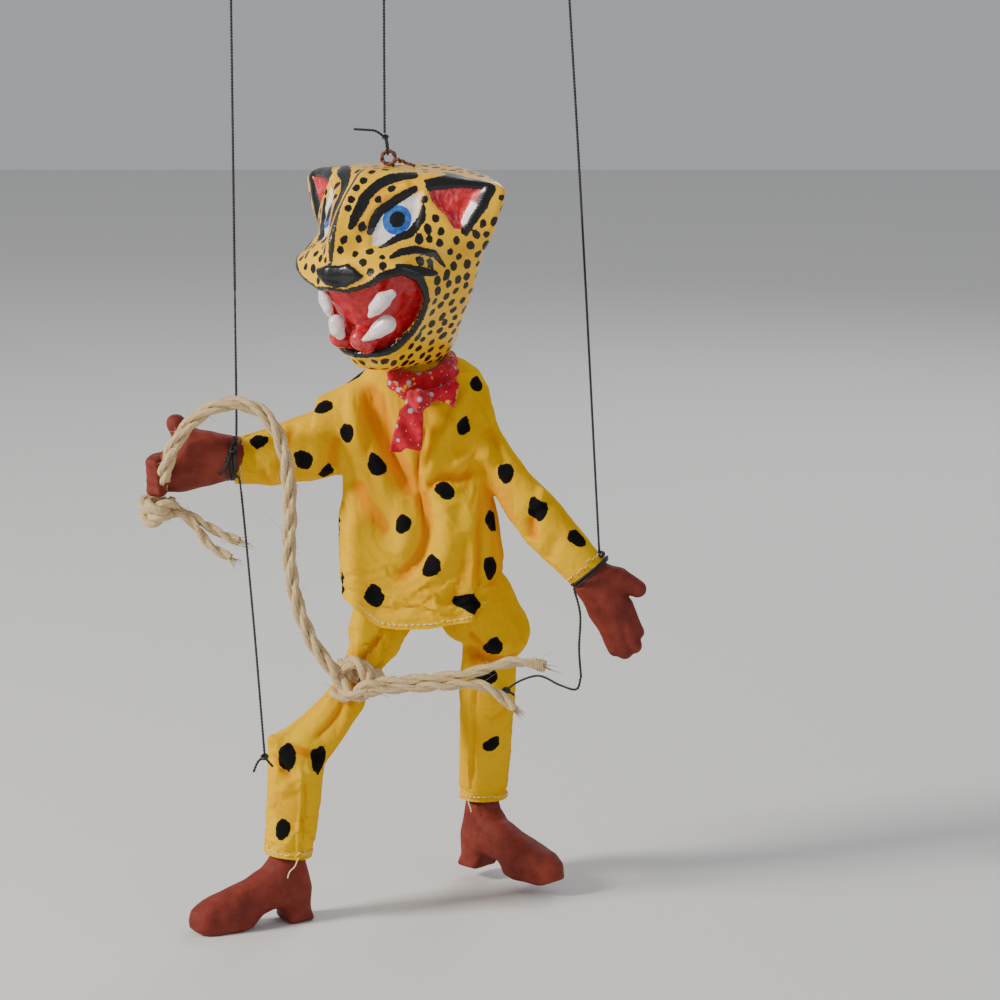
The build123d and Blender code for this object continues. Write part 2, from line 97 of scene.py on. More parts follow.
def chain(p, stations):
    d = cone(p, stations[0], stations[1])
    for first, second in zip(stations[1:], stations[2:]):
        d = np.minimum(d, cone(p, first, second))
    return d


def flat_chain(p, stations, flatness):
    """A chain whose sections are thinner front to back."""
    scale = np.array([1.0, flatness, 1.0])
    return chain(p * scale, [(x, y * flatness, z, r) for x, y, z, r in stations]) / math.sqrt(flatness)


def ellipsoid(p, centre, radii):
    q = (p - np.array(centre, float)) / np.array(radii, float)
    length = np.linalg.norm(q, axis=-1)
    slope = np.linalg.norm(q / np.array(radii, float), axis=-1)
    return length * (length - 1) / np.maximum(slope, 1e-6)


def outline_distance(x, y, outline):
    """Signed distance to a closed outline in a plane, negative inside."""
    ring = np.array(outline, float)
    best = np.full(x.shape, 1e9)
    inside = np.zeros(x.shape, bool)
    for (ax, ay), (bx, by) in zip(ring, np.roll(ring, -1, 0)):
        dx, dy = bx - ax, by - ay
        t = np.clip(((x - ax) * dx + (y - ay) * dy) / (dx * dx + dy * dy), 0, 1)
        best = np.minimum(best, np.hypot(x - ax - t * dx, y - ay - t * dy))
        crosses = (ay > y) != (by > y)
        level = np.where(crosses, (y - ay) / (by - ay if by != ay else 1), 0)
        inside ^= crosses & (x < ax + dx * level)
    return np.where(inside, -best, best)


LATTICE = np.random.default_rng(5).random((24, 24, 24))


def lumps(points, size):
    """Smooth value noise between -1 and 1, with features about size wide."""
    q = np.asarray(points, float) / size + 100.0
    cell = np.floor(q).astype(int)
    t = q - cell
    t = t * t * (3 - 2 * t)
    total = 0
    for i in (0, 1):
        for j in (0, 1):
            for k in (0, 1):
                weight = (np.where(i, t[..., 0], 1 - t[..., 0]) * np.where(j, t[..., 1], 1 - t[..., 1])
                          * np.where(k, t[..., 2], 1 - t[..., 2]))
                total = total + weight * LATTICE[(cell[..., 0] + i) % 24, (cell[..., 1] + j) % 24,
                                                 (cell[..., 2] + k) % 24]
    return total * 2 - 1


def polyline_nearest(p, line):
    """Distance from each point to a polyline, and how far along it the nearest place is, 0 to 1."""
    line = np.asarray(line, float)
    best = np.full(len(p), 1e9)
    along = np.zeros(len(p))
    count = len(line) - 1
    for i in range(count):
        ab = line[i + 1] - line[i]
        t = np.clip(((p - line[i]) @ ab) / max(ab @ ab, 1e-9), 0, 1)
        d = np.linalg.norm(p - line[i] - t[:, None] * ab, axis=-1)
        nearer = d < best
        best = np.where(nearer, d, best)
        along = np.where(nearer, (i + t) / count, along)
    return best, along


def surface_mesh(field, low, high, step):
    """Vertices and quads of the surface where field is zero; the inside is negative."""
    axes = [np.arange(a, b + step, step) for a, b in zip(low, high)]
    grid = np.stack(np.meshgrid(*axes, indexing="ij"), -1)
    value = field(grid)
    inside = value < 0
    n = np.array(value.shape) - 1
    corners = [(i, j, k) for i in (0, 1) for j in (0, 1) for k in (0, 1)]
    filled = sum(inside[i:i + n[0], j:j + n[1], k:k + n[2]].astype(np.int8) for i, j, k in corners)
    cells = np.argwhere((filled > 0) & (filled < 8))
    total = np.zeros((len(cells), 3))
    crossings = np.zeros(len(cells))
    for corner in corners:
        for axis in range(3):
            if corner[axis]:
                continue
            near = cells + corner
            far = near.copy()
            far[:, axis] += 1
            a = value[tuple(near.T)]
            b = value[tuple(far.T)]
            cross = (a < 0) != (b < 0)
            t = np.where(cross, a / np.where(cross, a - b, 1), 0)
            place = near.astype(float)
            place[:, axis] += t
            total += place * cross[:, None]
            crossings += cross
    verts = total / crossings[:, None] * step + np.array(low, float)
    index = np.full(n, -1)
    index[tuple(cells.T)] = np.arange(len(cells))
    quads = []
    for axis in range(3):
        b, c = (axis + 1) % 3, (axis + 2) % 3
        first = [slice(1, -1)] * 3
        second = [slice(1, -1)] * 3
        first[axis], second[axis] = slice(0, -1), slice(1, None)
        change = inside[tuple(first)] != inside[tuple(second)]
        place = np.argwhere(change)
        place[:, b] += 1
        place[:, c] += 1
        outward = inside[tuple(place.T)]
        step_b, step_c = np.zeros(3, int), np.zeros(3, int)
        step_b[b], step_c[c] = 1, 1
        around = [index[tuple((place - move).T)]
                  for move in (step_b + step_c, step_c, np.zeros(3, int), step_b)]
        quad = np.stack(around, -1)
        quads.append(np.where(outward[:, None], quad, quad[:, ::-1]))
    quads = np.concatenate(quads)
    return verts, quads[(quads >= 0).all(1)]


def edges_of(faces):
    pairs = np.concatenate([np.stack([faces[:, i], faces[:, (i + 1) % 4]], -1) for i in range(4)])
    return np.unique(np.sort(pairs, 1), axis=0)


def open_edges(faces):
    """Directed edges that have a face on one side only."""
    pairs = np.concatenate([np.stack([faces[:, i], faces[:, (i + 1) % 4]], -1) for i in range(4)])
    key = np.sort(pairs, 1)
    _, first, count = np.unique(key, axis=0, return_index=True, return_counts=True)
    return pairs[first[count == 1]]


def relax(verts, faces, rounds, share=0.5, hold=None):
    edges = edges_of(faces)
    both = np.concatenate([edges, edges[:, ::-1]])
    count = np.maximum(np.bincount(both[:, 0], minlength=len(verts)), 1)
    verts = verts.copy()
    for _ in range(rounds):
        mean = np.stack([np.bincount(both[:, 0], verts[both[:, 1], k], len(verts)) for k in range(3)], -1)
        move = (mean / count[:, None] - verts) * share
        if hold is not None:
            move[hold] = 0
        verts += move
    return verts


def normals_of(verts, faces):
    quad = verts[faces]
    cross = np.cross(quad[:, 2] - quad[:, 0], quad[:, 3] - quad[:, 1])
    total = np.zeros_like(verts)
    for i in range(4):
        for k in range(3):
            total[:, k] += np.bincount(faces[:, i], cross[:, k], len(verts))
    return unit(total)


def drop_unused(verts, faces):
    used = np.unique(faces)
    renumber = np.full(len(verts), -1)
    renumber[used] = np.arange(len(used))
    return verts[used], renumber[faces], used


def trim(verts, faces, cut):
    """Keeps the part where cut is negative, and pulls its open edges on to cut = 0."""
    value = cut(verts)
    faces = faces[value[faces].mean(1) < 0]
    verts, faces, _ = drop_unused(verts, faces)
    for _ in range(3):
        rim = np.unique(open_edges(faces))
        normal = normals_of(verts, faces)[rim]
        p = verts[rim]
        e = 0.05
        slope = np.stack([(cut(p + e * axis) - cut(p - e * axis)) / (2 * e) for axis in np.eye(3)], -1)
        slope -= (slope * normal).sum(1, keepdims=True) * normal
        move = cut(p)[:, None] * slope / np.maximum((slope ** 2).sum(1, keepdims=True), 0.2)
        verts[rim] -= np.clip(move, -2, 2)
    verts = relax(verts, faces, 2, 0.4, hold=np.unique(open_edges(faces)))
    return verts, faces


# ---------------------------------------------------------------- Blender objects
def make_object(name, verts, faces, material=None, attributes=None, normals=None):
    """A mesh object from layout millimetres. The attribute rest keeps each vertex's first place in mm."""
    mesh = bpy.data.meshes.new(name)
    if isinstance(faces, np.ndarray):
        size = faces.shape[1]
        mesh.vertices.add(len(verts))
        mesh.vertices.foreach_set("co", to_world(verts).astype(np.float32).ravel())
        mesh.loops.add(faces.size)
        mesh.loops.foreach_set("vertex_index", faces.astype(np.int32).ravel())
        mesh.polygons.add(len(faces))
        mesh.polygons.foreach_set("loop_start", np.arange(0, faces.size, size, dtype=np.int32))
        mesh.update(calc_edges=True)
    else:
        mesh.from_pydata(to_world(verts).tolist(), [], faces)
    mesh.validate()
    mesh.polygons.foreach_set("use_smooth", np.ones(len(mesh.polygons), bool))
    rest = mesh.attributes.new("rest", "FLOAT_VECTOR", "POINT")
    rest.data.foreach_set("vector", np.asarray(verts, np.float32).ravel())
    for key, values in (attributes or {}).items():
        layer = mesh.attributes.new(key, "FLOAT", "POINT")
        layer.data.foreach_set("value", np.asarray(values, np.float32))
    if normals is not None:
        mesh.normals_split_custom_set_from_vertices(normals.tolist())
    obj = bpy.data.objects.new(name, mesh)
    bpy.context.scene.collection.objects.link(obj)
    if material is not None:
        mesh.materials.append(material)
    return obj


def catmull(points, spacing):
    """A smooth curve through the points, sampled about every spacing mm."""
    p = np.asarray(points, float)
    p = np.concatenate([[2 * p[0] - p[1]], p, [2 * p[-1] - p[-2]]])
    out = []
    for i in range(1, len(p) - 2):
        steps = max(int(np.linalg.norm(p[i + 1] - p[i]) / spacing), 1)
        t = (np.arange(steps) / steps)[:, None]
        out.append(0.5 * (2 * p[i] + (p[i + 1] - p[i - 1]) * t
                          + (2 * p[i - 1] - 5 * p[i] + 4 * p[i + 1] - p[i + 2]) * t ** 2
                          + (3 * p[i] - p[i - 1] - 3 * p[i + 1] + p[i + 2]) * t ** 3))
    return np.concatenate(out + [p[-2][None]])


def curve_frame(path):
    """Tangents and two side directions that don't twist along a path."""
    tangent = unit(np.gradient(path, axis=0))
    side = np.zeros_like(path)
    start = np.cross(tangent[0], [0.3, 0.2, 0.93])
    side[0] = start / np.linalg.norm(start)
    for i in range(1, len(path)):
        s = side[i - 1] - tangent[i] * (side[i - 1] @ tangent[i])
        side[i] = s / max(np.linalg.norm(s), 1e-9)
    return tangent, side, np.cross(tangent, side)


def tube(path, radius, sides=8, ridges=0, ridge_height=0.0, ridge_turn=0.0):
    """Vertices, quads and end triangles of a tube; ridges wind round it like the plies of a strand."""
    path = np.asarray(path, float)
    radius = np.broadcast_to(np.asarray(radius, float), (len(path),))
    _, side, up = curve_frame(path)
    length = np.concatenate([[0], np.cumsum(np.linalg.norm(np.diff(path, axis=0), axis=1))])
    angle = np.arange(sides) * 2 * math.pi / sides
    r = radius[:, None] + ridge_height * np.cos(ridges * angle[None] + ridge_turn * length[:, None])
    verts = (path[:, None] + r[..., None] * (np.cos(angle)[None, :, None] * side[:, None]
                                             + np.sin(angle)[None, :, None] * up[:, None])).reshape(-1, 3)
    rows = len(path)
    i = np.arange(rows - 1)[:, None]
    j = np.arange(sides)[None]
    nxt = i + 1
    quads = np.stack([i * sides + j, i * sides + (j + 1) % sides, nxt * sides + (j + 1) % sides,
                      nxt * sides + j], -1).reshape(-1, 4)
    verts = np.concatenate([verts, [path[0]], [path[-1]]])
    a, b = rows * sides, rows * sides + 1
    jj = np.arange(sides)
    cap_a = np.stack([np.full(sides, a), (jj + 1) % sides, jj, np.full(sides, a)], -1)
    last = (rows - 1) * sides
    cap_b = np.stack([np.full(sides, b), last + jj, last + (jj + 1) % sides, np.full(sides, b)], -1)
    return verts, quads, np.concatenate([cap_a[:, :3], cap_b[:, :3]])


def join_meshes(parts):
    """One vertex list and one face list from (verts, quads, triangles) parts."""
    verts, faces, base = [], [], 0
    for v, quads, triangles in parts:
        verts.append(v)
        faces += (np.asarray(quads) + base).tolist()
        faces += (np.asarray(triangles) + base).tolist()
        base += len(v)
    return np.concatenate(verts), faces


def twisted(path, strand_radius, offset, pitch, strands=2, sides=7, spacing=None, phase=0.0, **ridges):
    """Strands laid round each other along a path."""
    spacing = spacing or pitch / 10
    path = catmull(path, spacing)
    _, side, up = curve_frame(path)
    length = np.concatenate([[0], np.cumsum(np.linalg.norm(np.diff(path, axis=0), axis=1))])
    parts = []
    for s in range(strands):
        angle = 2 * math.pi * (length / pitch + s / strands) + phase
        laid = path + offset * (np.cos(angle)[:, None] * side + np.sin(angle)[:, None] * up)
        parts.append(tube(laid, strand_radius, sides, **ridges))
    return parts


# ---------------------------------------------------------------- materials
def node(tree, kind, inputs=None, **settings):
    n = tree.nodes.new(kind)
    for key, value in settings.items():
        setattr(n, key, value)
    for key, value in (inputs or {}).items():
        socket = n.inputs[key]
        if isinstance(value, bpy.types.NodeSocket):
            tree.links.new(value, socket)
        else:
            socket.default_value = value
    return n


class Paint:
    """Short names for the nodes that the materials share."""

    def __init__(self, name):
        self.material = bpy.data.materials.new(name)
        self.material.use_nodes = True
        self.tree = self.material.node_tree
        self.tree.nodes.clear()
        self.out = node(self.tree, "ShaderNodeOutputMaterial")
        self.rest = node(self.tree, "ShaderNodeAttribute", attribute_name="rest").outputs["Vector"]

    def attribute(self, name):
        return node(self.tree, "ShaderNodeAttribute", attribute_name=name).outputs["Fac"]

    def math(self, operation, a, b=0.0, c=0.0):
        n = node(self.tree, "ShaderNodeMath", {0: a, 1: b, 2: c}, operation=operation)
        return n.outputs[0]

    def stretch(self, scale, vector=None):
        n = node(self.tree, "ShaderNodeVectorMath", {0: vector or self.rest, 1: scale},
                 operation="MULTIPLY")
        return n.outputs[0]

    def noise(self, size, detail=3.0, roughness=0.55, vector=None, distortion=0.0):
        n = node(self.tree, "ShaderNodeTexNoise",
                 {"Vector": vector or self.rest, "Scale": 1.0 / size, "Detail": detail,
                  "Roughness": roughness, "Distortion": distortion})
        return n.outputs["Fac"]

    def cells(self, size):
        return node(self.tree, "ShaderNodeTexVoronoi", {"Vector": self.rest, "Scale": 1.0 / size})

    def map(self, value, low, high, to_low=0.0, to_high=1.0, smooth=False):
        n = node(self.tree, "ShaderNodeMapRange", {0: value, 1: low, 2: high, 3: to_low, 4: to_high},
                 interpolation_type="SMOOTHSTEP" if smooth else "LINEAR")
        return n.outputs[0]

    def mix(self, factor, a, b):
        n = node(self.tree, "ShaderNodeMix", {0: factor, 6: a, 7: b}, data_type="RGBA")
        return n.outputs[2]

    def blend_values(self, factor, a, b):
        n = node(self.tree, "ShaderNodeMix", {0: factor, 2: a, 3: b}, data_type="FLOAT")
        return n.outputs[0]

    def bump(self, height, distance, strength=1.0, normal=None):
        inputs = {"Height": height, "Distance": distance * MM, "Strength": strength}
        if normal is not None:
            inputs["Normal"] = normal
        return node(self.tree, "ShaderNodeBump", inputs).outputs["Normal"]

    def principled(self, **inputs):
        named = {key.replace("_", " "): value for key, value in inputs.items()}
        return node(self.tree, "ShaderNodeBsdfPrincipled", named).outputs["BSDF"]

    def finish(self, shader):
        self.tree.links.new(shader, self.out.inputs["Surface"])
        return self.material


def rgb(r, g, b):
    return (r, g, b, 1.0)


def edge_mask(p, sd, ragged=0.25, soft=0.12):
    """1 inside a painted shape, with a slightly ragged brushed edge."""
    wobble = p.map(p.noise(1.6, 3.0), 0.3, 0.7, -ragged, ragged)
    return p.map(p.math("ADD", sd, wobble), -soft, soft, 1.0, 0.0)


def head_paint():
    p = Paint("painted_papier_mache")
    broad = p.noise(14.0, 3.0)
    streak = p.noise(1.0, 4.0, vector=p.stretch((0.25, 0.25, 1.4)))
    yellow = p.mix(p.map(broad, 0.35, 0.65), rgb(0.82, 0.38, 0.0), rgb(0.96, 0.54, 0.0))
    yellow = p.mix(p.map(streak, 0.4, 0.75, 0.0, 0.4), yellow, rgb(1.0, 0.64, 0.0))
    # Painted shade: the yellow darkens to brown-orange beside the brow ridge, where the ridge shades the face.
    yellow = p.mix(p.map(p.attribute("valley"), 0.0, 1.0, 0.0, 0.75, True), yellow, rgb(0.62, 0.22, 0.008))
    grime = p.map(p.noise(3.5, 5.0, 0.7), 0.62, 0.8, 0.0, 0.35)
    yellow = p.mix(grime, yellow, rgb(0.42, 0.20, 0.02))
    red_tone = p.mix(p.map(p.noise(3.0, 3.0), 0.4, 0.65), rgb(0.42, 0.006, 0.012), rgb(0.66, 0.02, 0.03))
    pink = p.mix(p.map(p.noise(2.2, 4.0, vector=p.stretch((1.5, 1.5, 0.45))), 0.5, 0.68, 0.0, 0.8),
                 red_tone, rgb(0.80, 0.16, 0.17))
    color = p.mix(edge_mask(p, p.attribute("ear_red")), yellow, pink)
    # Painted highlight: the lower, upward-facing part of the mouth is painted a lighter pinkish red than the
    # darker upper mouth.
    lower = p.map(p.attribute("mouth_height"), 0.0, 1.0, 0.75, 0.0)
    mouth = p.mix(lower, red_tone, p.mix(p.map(p.noise(2.6), 0.42, 0.62), rgb(0.52, 0.01, 0.02),
                                         rgb(0.72, 0.08, 0.09)))
    color = p.mix(edge_mask(p, p.attribute("mouth"), 0.1), color, mouth)
    white = p.mix(p.map(p.noise(2.5, 4.0), 0.45, 0.7), rgb(0.86, 0.84, 0.76), rgb(0.70, 0.66, 0.55))
    color = p.mix(edge_mask(p, p.attribute("white")), color, white)
    blue = p.mix(p.map(p.noise(1.5), 0.4, 0.65), rgb(0.012, 0.09, 0.42), rgb(0.03, 0.18, 0.60))
    color = p.mix(edge_mask(p, p.attribute("blue"), 0.15), color, blue)
    ink_mask = edge_mask(p, p.attribute("ink"), 0.28)
    worn = p.map(p.noise(2.0, 5.0, 0.7), 0.66, 0.78, 0.0, 0.35)
    ink = p.mix(worn, rgb(0.006, 0.006, 0.007), rgb(0.09, 0.085, 0.08))
    color = p.mix(ink_mask, color, ink)
    line_mask = edge_mask(p, p.attribute("grey_line"), 0.2)
    color = p.mix(line_mask, color, rgb(0.035, 0.03, 0.02))
    brush = p.noise(0.9, 4.0, 0.6, vector=p.stretch((0.6, 0.6, 1.3)))
    pores = p.noise(0.35, 2.0)
    height = p.math("ADD", p.math("MULTIPLY", brush, 0.7), p.math("MULTIPLY", pores, 0.15))
    height = p.math("ADD", height, p.math("MULTIPLY", ink_mask, 0.35))
    rough = p.map(p.noise(5.0, 4.0), 0.3, 0.7, 0.22, 0.42)
    shader = p.principled(Base_Color=color, Roughness=rough, Coat_Weight=0.4, Coat_Roughness=0.1,
                          Specular_IOR_Level=0.25, Normal=p.bump(height, 0.35, 0.55))
    return p.finish(shader)


def fang_enamel():
    p = Paint("fang_enamel")
    tone = p.mix(p.map(p.noise(3.0, 4.0), 0.4, 0.7), rgb(0.88, 0.80, 0.78), rgb(0.80, 0.58, 0.58))
    tone = p.mix(p.map(p.noise(0.8, 5.0, 0.75), 0.66, 0.76, 0.0, 0.4), tone, rgb(0.62, 0.30, 0.28))
    shader = p.principled(Base_Color=tone, Roughness=0.28, Coat_Weight=0.5, Coat_Roughness=0.1,
                          Subsurface_Weight=0.1, Subsurface_Radius=(0.002, 0.001, 0.0008),
                          Normal=p.bump(p.noise(1.3, 4.0), 0.3, 0.5))
    return p.finish(shader)


def cotton():
    p = Paint("yellow_cotton")
    valley = p.attribute("valley")
    dye = p.noise(26.0, 3.0)
    color = p.mix(p.map(dye, 0.35, 0.65), rgb(0.96, 0.53, 0.0), rgb(1.0, 0.62, 0.0))
    # Painted shade: the yellow turns orange in fold valleys, along the side crease and on the side panel,
    # where the cloth is in shade.
    color = p.mix(p.map(valley, 0.05, 0.9, 0.0, 0.8, True), color, rgb(0.93, 0.33, 0.0))
    slub = p.noise(1.0, 3.0, vector=p.stretch((0.5, 0.5, 3.5)))
    color = p.mix(p.map(slub, 0.45, 0.8, 0.0, 0.22), color, rgb(0.86, 0.42, 0.0))
    spot = edge_mask(p, p.attribute("ink"), 0.24, 0.14)
    dry = p.map(p.noise(0.6, 4.0, 0.7, vector=p.stretch((1.0, 1.0, 0.6))), 0.62, 0.78, 0.0, 0.3)
    color = p.mix(spot, color, p.mix(dry, rgb(0.008, 0.008, 0.009), rgb(0.06, 0.05, 0.03)))
    crossing = p.stretch((2 * math.pi / 0.42,) * 3)
    x, y, z = (node(p.tree, "ShaderNodeSeparateXYZ", {0: crossing}).outputs[i] for i in range(3))
    warp = p.math("SINE", p.math("ADD", x, p.math("MULTIPLY", y, 0.8)))
    weft = p.math("SINE", z)
    weave = p.math("MULTIPLY", warp, weft)
    crumple = p.noise(5.0, 5.0, 0.62, distortion=0.4)
    height = p.math("ADD", p.math("MULTIPLY", weave, 0.05), p.math("MULTIPLY", crumple, 1.0))
    normal = p.bump(height, 0.9, 0.5)
    cloth = p.principled(Base_Color=color, Roughness=0.86, Specular_IOR_Level=0.08, Sheen_Weight=0.04,
                         Sheen_Roughness=0.5, Sheen_Tint=rgb(1.0, 0.7, 0.1), Normal=normal)
    glow = node(p.tree, "ShaderNodeBsdfTranslucent", {"Color": color, "Normal": normal}).outputs[0]
    both = node(p.tree, "ShaderNodeMixShader", {0: 0.22, 1: cloth, 2: glow}).outputs[0]
    return p.finish(both)


def thread():
    p = Paint("cream_thread")
    tone = p.mix(p.noise(1.0), rgb(0.90, 0.66, 0.30), rgb(0.95, 0.80, 0.52))
    return p.finish(p.principled(Base_Color=tone, Roughness=0.8, Sheen_Weight=0.3,
                                 Normal=p.bump(p.noise(0.2), 0.1, 0.6)))


def kerchief_print():
    p = Paint("printed_kerchief")
    red = p.mix(p.map(p.noise(4.0, 3.0), 0.4, 0.65), rgb(0.42, 0.002, 0.012), rgb(0.66, 0.006, 0.03))
    flower = p.cells(5.0)
    petals = p.map(flower.outputs["Distance"], 0.24, 0.29, 1.0, 0.0)
    pick = node(p.tree, "ShaderNodeSeparateColor", {0: flower.outputs["Color"]}).outputs[0]
    wanted = p.map(pick, 0.38, 0.40)
    color = p.mix(p.math("MULTIPLY", petals, wanted), red, rgb(0.34, 0.42, 0.54))
    heart = p.map(flower.outputs["Distance"], 0.08, 0.12, 1.0, 0.0)
    color = p.mix(p.math("MULTIPLY", heart, wanted), color, rgb(0.85, 0.82, 0.78))
    buds = p.cells(1.9)
    bud = p.map(buds.outputs["Distance"], 0.16, 0.2, 0.8, 0.0)
    bud_pick = node(p.tree, "ShaderNodeSeparateColor", {0: buds.outputs["Color"]}).outputs[1]
    color = p.mix(p.math("MULTIPLY", bud, p.map(bud_pick, 0.66, 0.68)), color, rgb(0.80, 0.62, 0.60))
    patch = p.map(p.noise(7.0, 2.0), 0.63, 0.66)
    color = p.mix(p.math("MULTIPLY", patch, p.map(p.noise(1.1), 0.42, 0.5)), color, rgb(0.88, 0.46, 0.03))
    grain = p.math("ADD", p.noise(0.5, 3.0), p.math("MULTIPLY", p.noise(2.4, 4.0, 0.65), 2.0))
    shader = p.principled(Base_Color=color, Roughness=0.82, Sheen_Weight=0.2, Specular_IOR_Level=0.25,
                          Normal=p.bump(grain, 0.4, 0.6))
    return p.finish(shader)


def red_clay():
    p = Paint("red_clay")
    broad = p.noise(9.0, 4.0)
    color = p.mix(p.map(broad, 0.35, 0.68), rgb(0.15, 0.014, 0.007), rgb(0.23, 0.030, 0.015))
    scuff = p.map(p.noise(2.2, 6.0, 0.72), 0.58, 0.76, 0.0, 0.55)
    color = p.mix(scuff, color, rgb(0.36, 0.07, 0.04))
    # Painted shade: the clay darkens in its creases and hollows.
    crease_shade = p.map(p.attribute("valley"), 0.2, 1.0, 0.0, 0.85)
    color = p.mix(crease_shade, color, rgb(0.055, 0.008, 0.006))
    wrinkle = p.noise(1.1, 5.0, 0.68, vector=p.stretch((1.2, 1.2, 0.5)), distortion=0.8)
    pits = p.map(p.cells(2.6).outputs["Distance"], 0.05, 0.22)
    sparse = p.map(p.noise(6.0), 0.5, 0.6)
    height = p.math("SUBTRACT", p.math("ADD", wrinkle, p.math("MULTIPLY", p.noise(0.35, 3.0), 0.35)),
                    p.math("MULTIPLY", p.math("SUBTRACT", 1.0, pits), sparse))
    shader = p.principled(Base_Color=color, Roughness=p.map(p.noise(4.0, 3.0), 0.3, 0.7, 0.58, 0.8),
                          Specular_IOR_Level=0.35, Normal=p.bump(height, 0.45, 0.6))
    return p.finish(shader)


def sisal():
    p = Paint("sisal_rope")
    fibre = p.noise(0.5, 4.0, 0.65, vector=p.stretch((1.6, 1.6, 0.55)))
    tone = p.mix(p.map(fibre, 0.36, 0.64), rgb(0.50, 0.31, 0.11), rgb(0.90, 0.72, 0.42))
    tone = p.mix(p.map(p.noise(8.0, 3.0), 0.5, 0.75, 0.0, 0.55), tone, rgb(0.72, 0.44, 0.16))
    shader = p.principled(Base_Color=tone, Roughness=0.8, Specular_IOR_Level=0.3, Sheen_Weight=0.25,
                          Normal=p.bump(p.math("ADD", fibre, p.noise(0.25, 3.0)), 0.4, 0.9))
    return p.finish(shader)


def waxed_cord():
    p = Paint("waxed_cord")
    color = p.mix(p.noise(1.2, 3.0), rgb(0.004, 0.004, 0.005), rgb(0.02, 0.019, 0.02))
    return p.finish(p.principled(Base_Color=color, Roughness=0.48, Specular_IOR_Level=0.4, Coat_Weight=0.15,
                                 Coat_Roughness=0.4, Normal=p.bump(p.noise(0.3, 3.0), 0.1, 0.5)))


def metal(name, clean, stained, amount, rough):
    p = Paint(name)
    stain = p.map(p.noise(1.3, 5.0, 0.7), 0.62 - amount, 0.72 - amount * 0.5)
    color = p.mix(stain, clean, stained)
    grain = p.noise(0.4, 4.0)
    return p.finish(p.principled(Base_Color=color, Metallic=p.blend_values(stain, 1.0, 0.1),
                                 Roughness=p.blend_values(stain, rough, 0.85),
                                 Normal=p.bump(grain, 0.1, 0.7)))


def bar_wood():
    p = Paint("bar_wood")
    place = node(p.tree, "ShaderNodeTexCoord").outputs["Object"]
    along = p.stretch((60.0, 900.0, 900.0), place)
    rings = node(p.tree, "ShaderNodeTexNoise",
                 {"Vector": along, "Scale": 0.22, "Detail": 5.0, "Roughness": 0.6,
                  "Distortion": 1.2}).outputs["Fac"]
    fine = node(p.tree, "ShaderNodeTexNoise", {"Vector": along, "Scale": 1.6, "Detail": 3.0}).outputs["Fac"]
    color = p.mix(p.map(rings, 0.35, 0.66), rgb(0.30, 0.16, 0.07), rgb(0.56, 0.37, 0.19))
    color = p.mix(p.map(fine, 0.55, 0.8, 0.0, 0.5), color, rgb(0.18, 0.09, 0.035))
    worn = node(p.tree, "ShaderNodeTexNoise",
                {"Vector": place, "Scale": 60.0, "Detail": 4.0}).outputs["Fac"]
    color = p.mix(p.map(worn, 0.55, 0.75, 0.0, 0.35), color, rgb(0.66, 0.48, 0.28))
    height = p.math("ADD", p.math("MULTIPLY", rings, 0.5), fine)
    return p.finish(p.principled(Base_Color=color, Roughness=p.map(fine, 0.3, 0.7, 0.5, 0.72),
                                 Normal=p.bump(height, 0.25, 0.6)))


HEAD_PAINT = head_paint()
ENAMEL = fang_enamel()
COTTON = cotton()
THREAD = thread()
KERCHIEF = kerchief_print()
CLAY = red_clay()
SISAL = sisal()
CORD = waxed_cord()
RUST = metal("rusty_wire", rgb(0.30, 0.16, 0.12), rgb(0.13, 0.022, 0.012), 0.25, 0.5)
STEEL = metal("steel_wire", rgb(0.50, 0.49, 0.47), rgb(0.16, 0.12, 0.09), 0.02, 0.38)
WOOD = bar_wood()


# ---------------------------------------------------------------- head
HEAD_YAW = math.radians(38.0)
HEAD_CENTRE = np.array([4.7, -14.0, 0.0])
SIDE_WAY = np.array([math.cos(HEAD_YAW), -math.sin(HEAD_YAW), 0.0])
BACK_WAY = np.array([math.sin(HEAD_YAW), math.cos(HEAD_YAW), 0.0])
WRAP_BACK = 12.0      # the face is unrolled about an upright axis this far behind the head's centre

# height, nose forward, muzzle half width and forward, side half width and forward, rear half width and back
HEAD_LEVELS = np.array([(262, 23, 8, 19, 10, -18, 6, 25), (266, 27, 11, 24, 15, -16, 9, 27),
                        (275, 33, 15, 29, 23, -12, 14, 27), (285, 40, 20, 34, 30, -10, 17, 25),
                        (295, 46, 26, 38, 36, -8, 21, 24), (303, 50, 30, 41, 40, -7, 24, 23),
                        (312, 52, 31, 41, 44, -5, 26, 22), (319, 51, 28, 38, 47, -4, 28, 21),
                        (327, 50, 21, 34, 53, -4, 29, 21), (336, 46.5, 19, 31, 59, -3, 31, 20),
                        (346, 40.5, 20, 26, 65, -2, 35, 20), (354, 33, 24, 19, 68, -1, 37, 20),
                        (366, 20, 28, 10, 73, 0, 39, 20)], float)

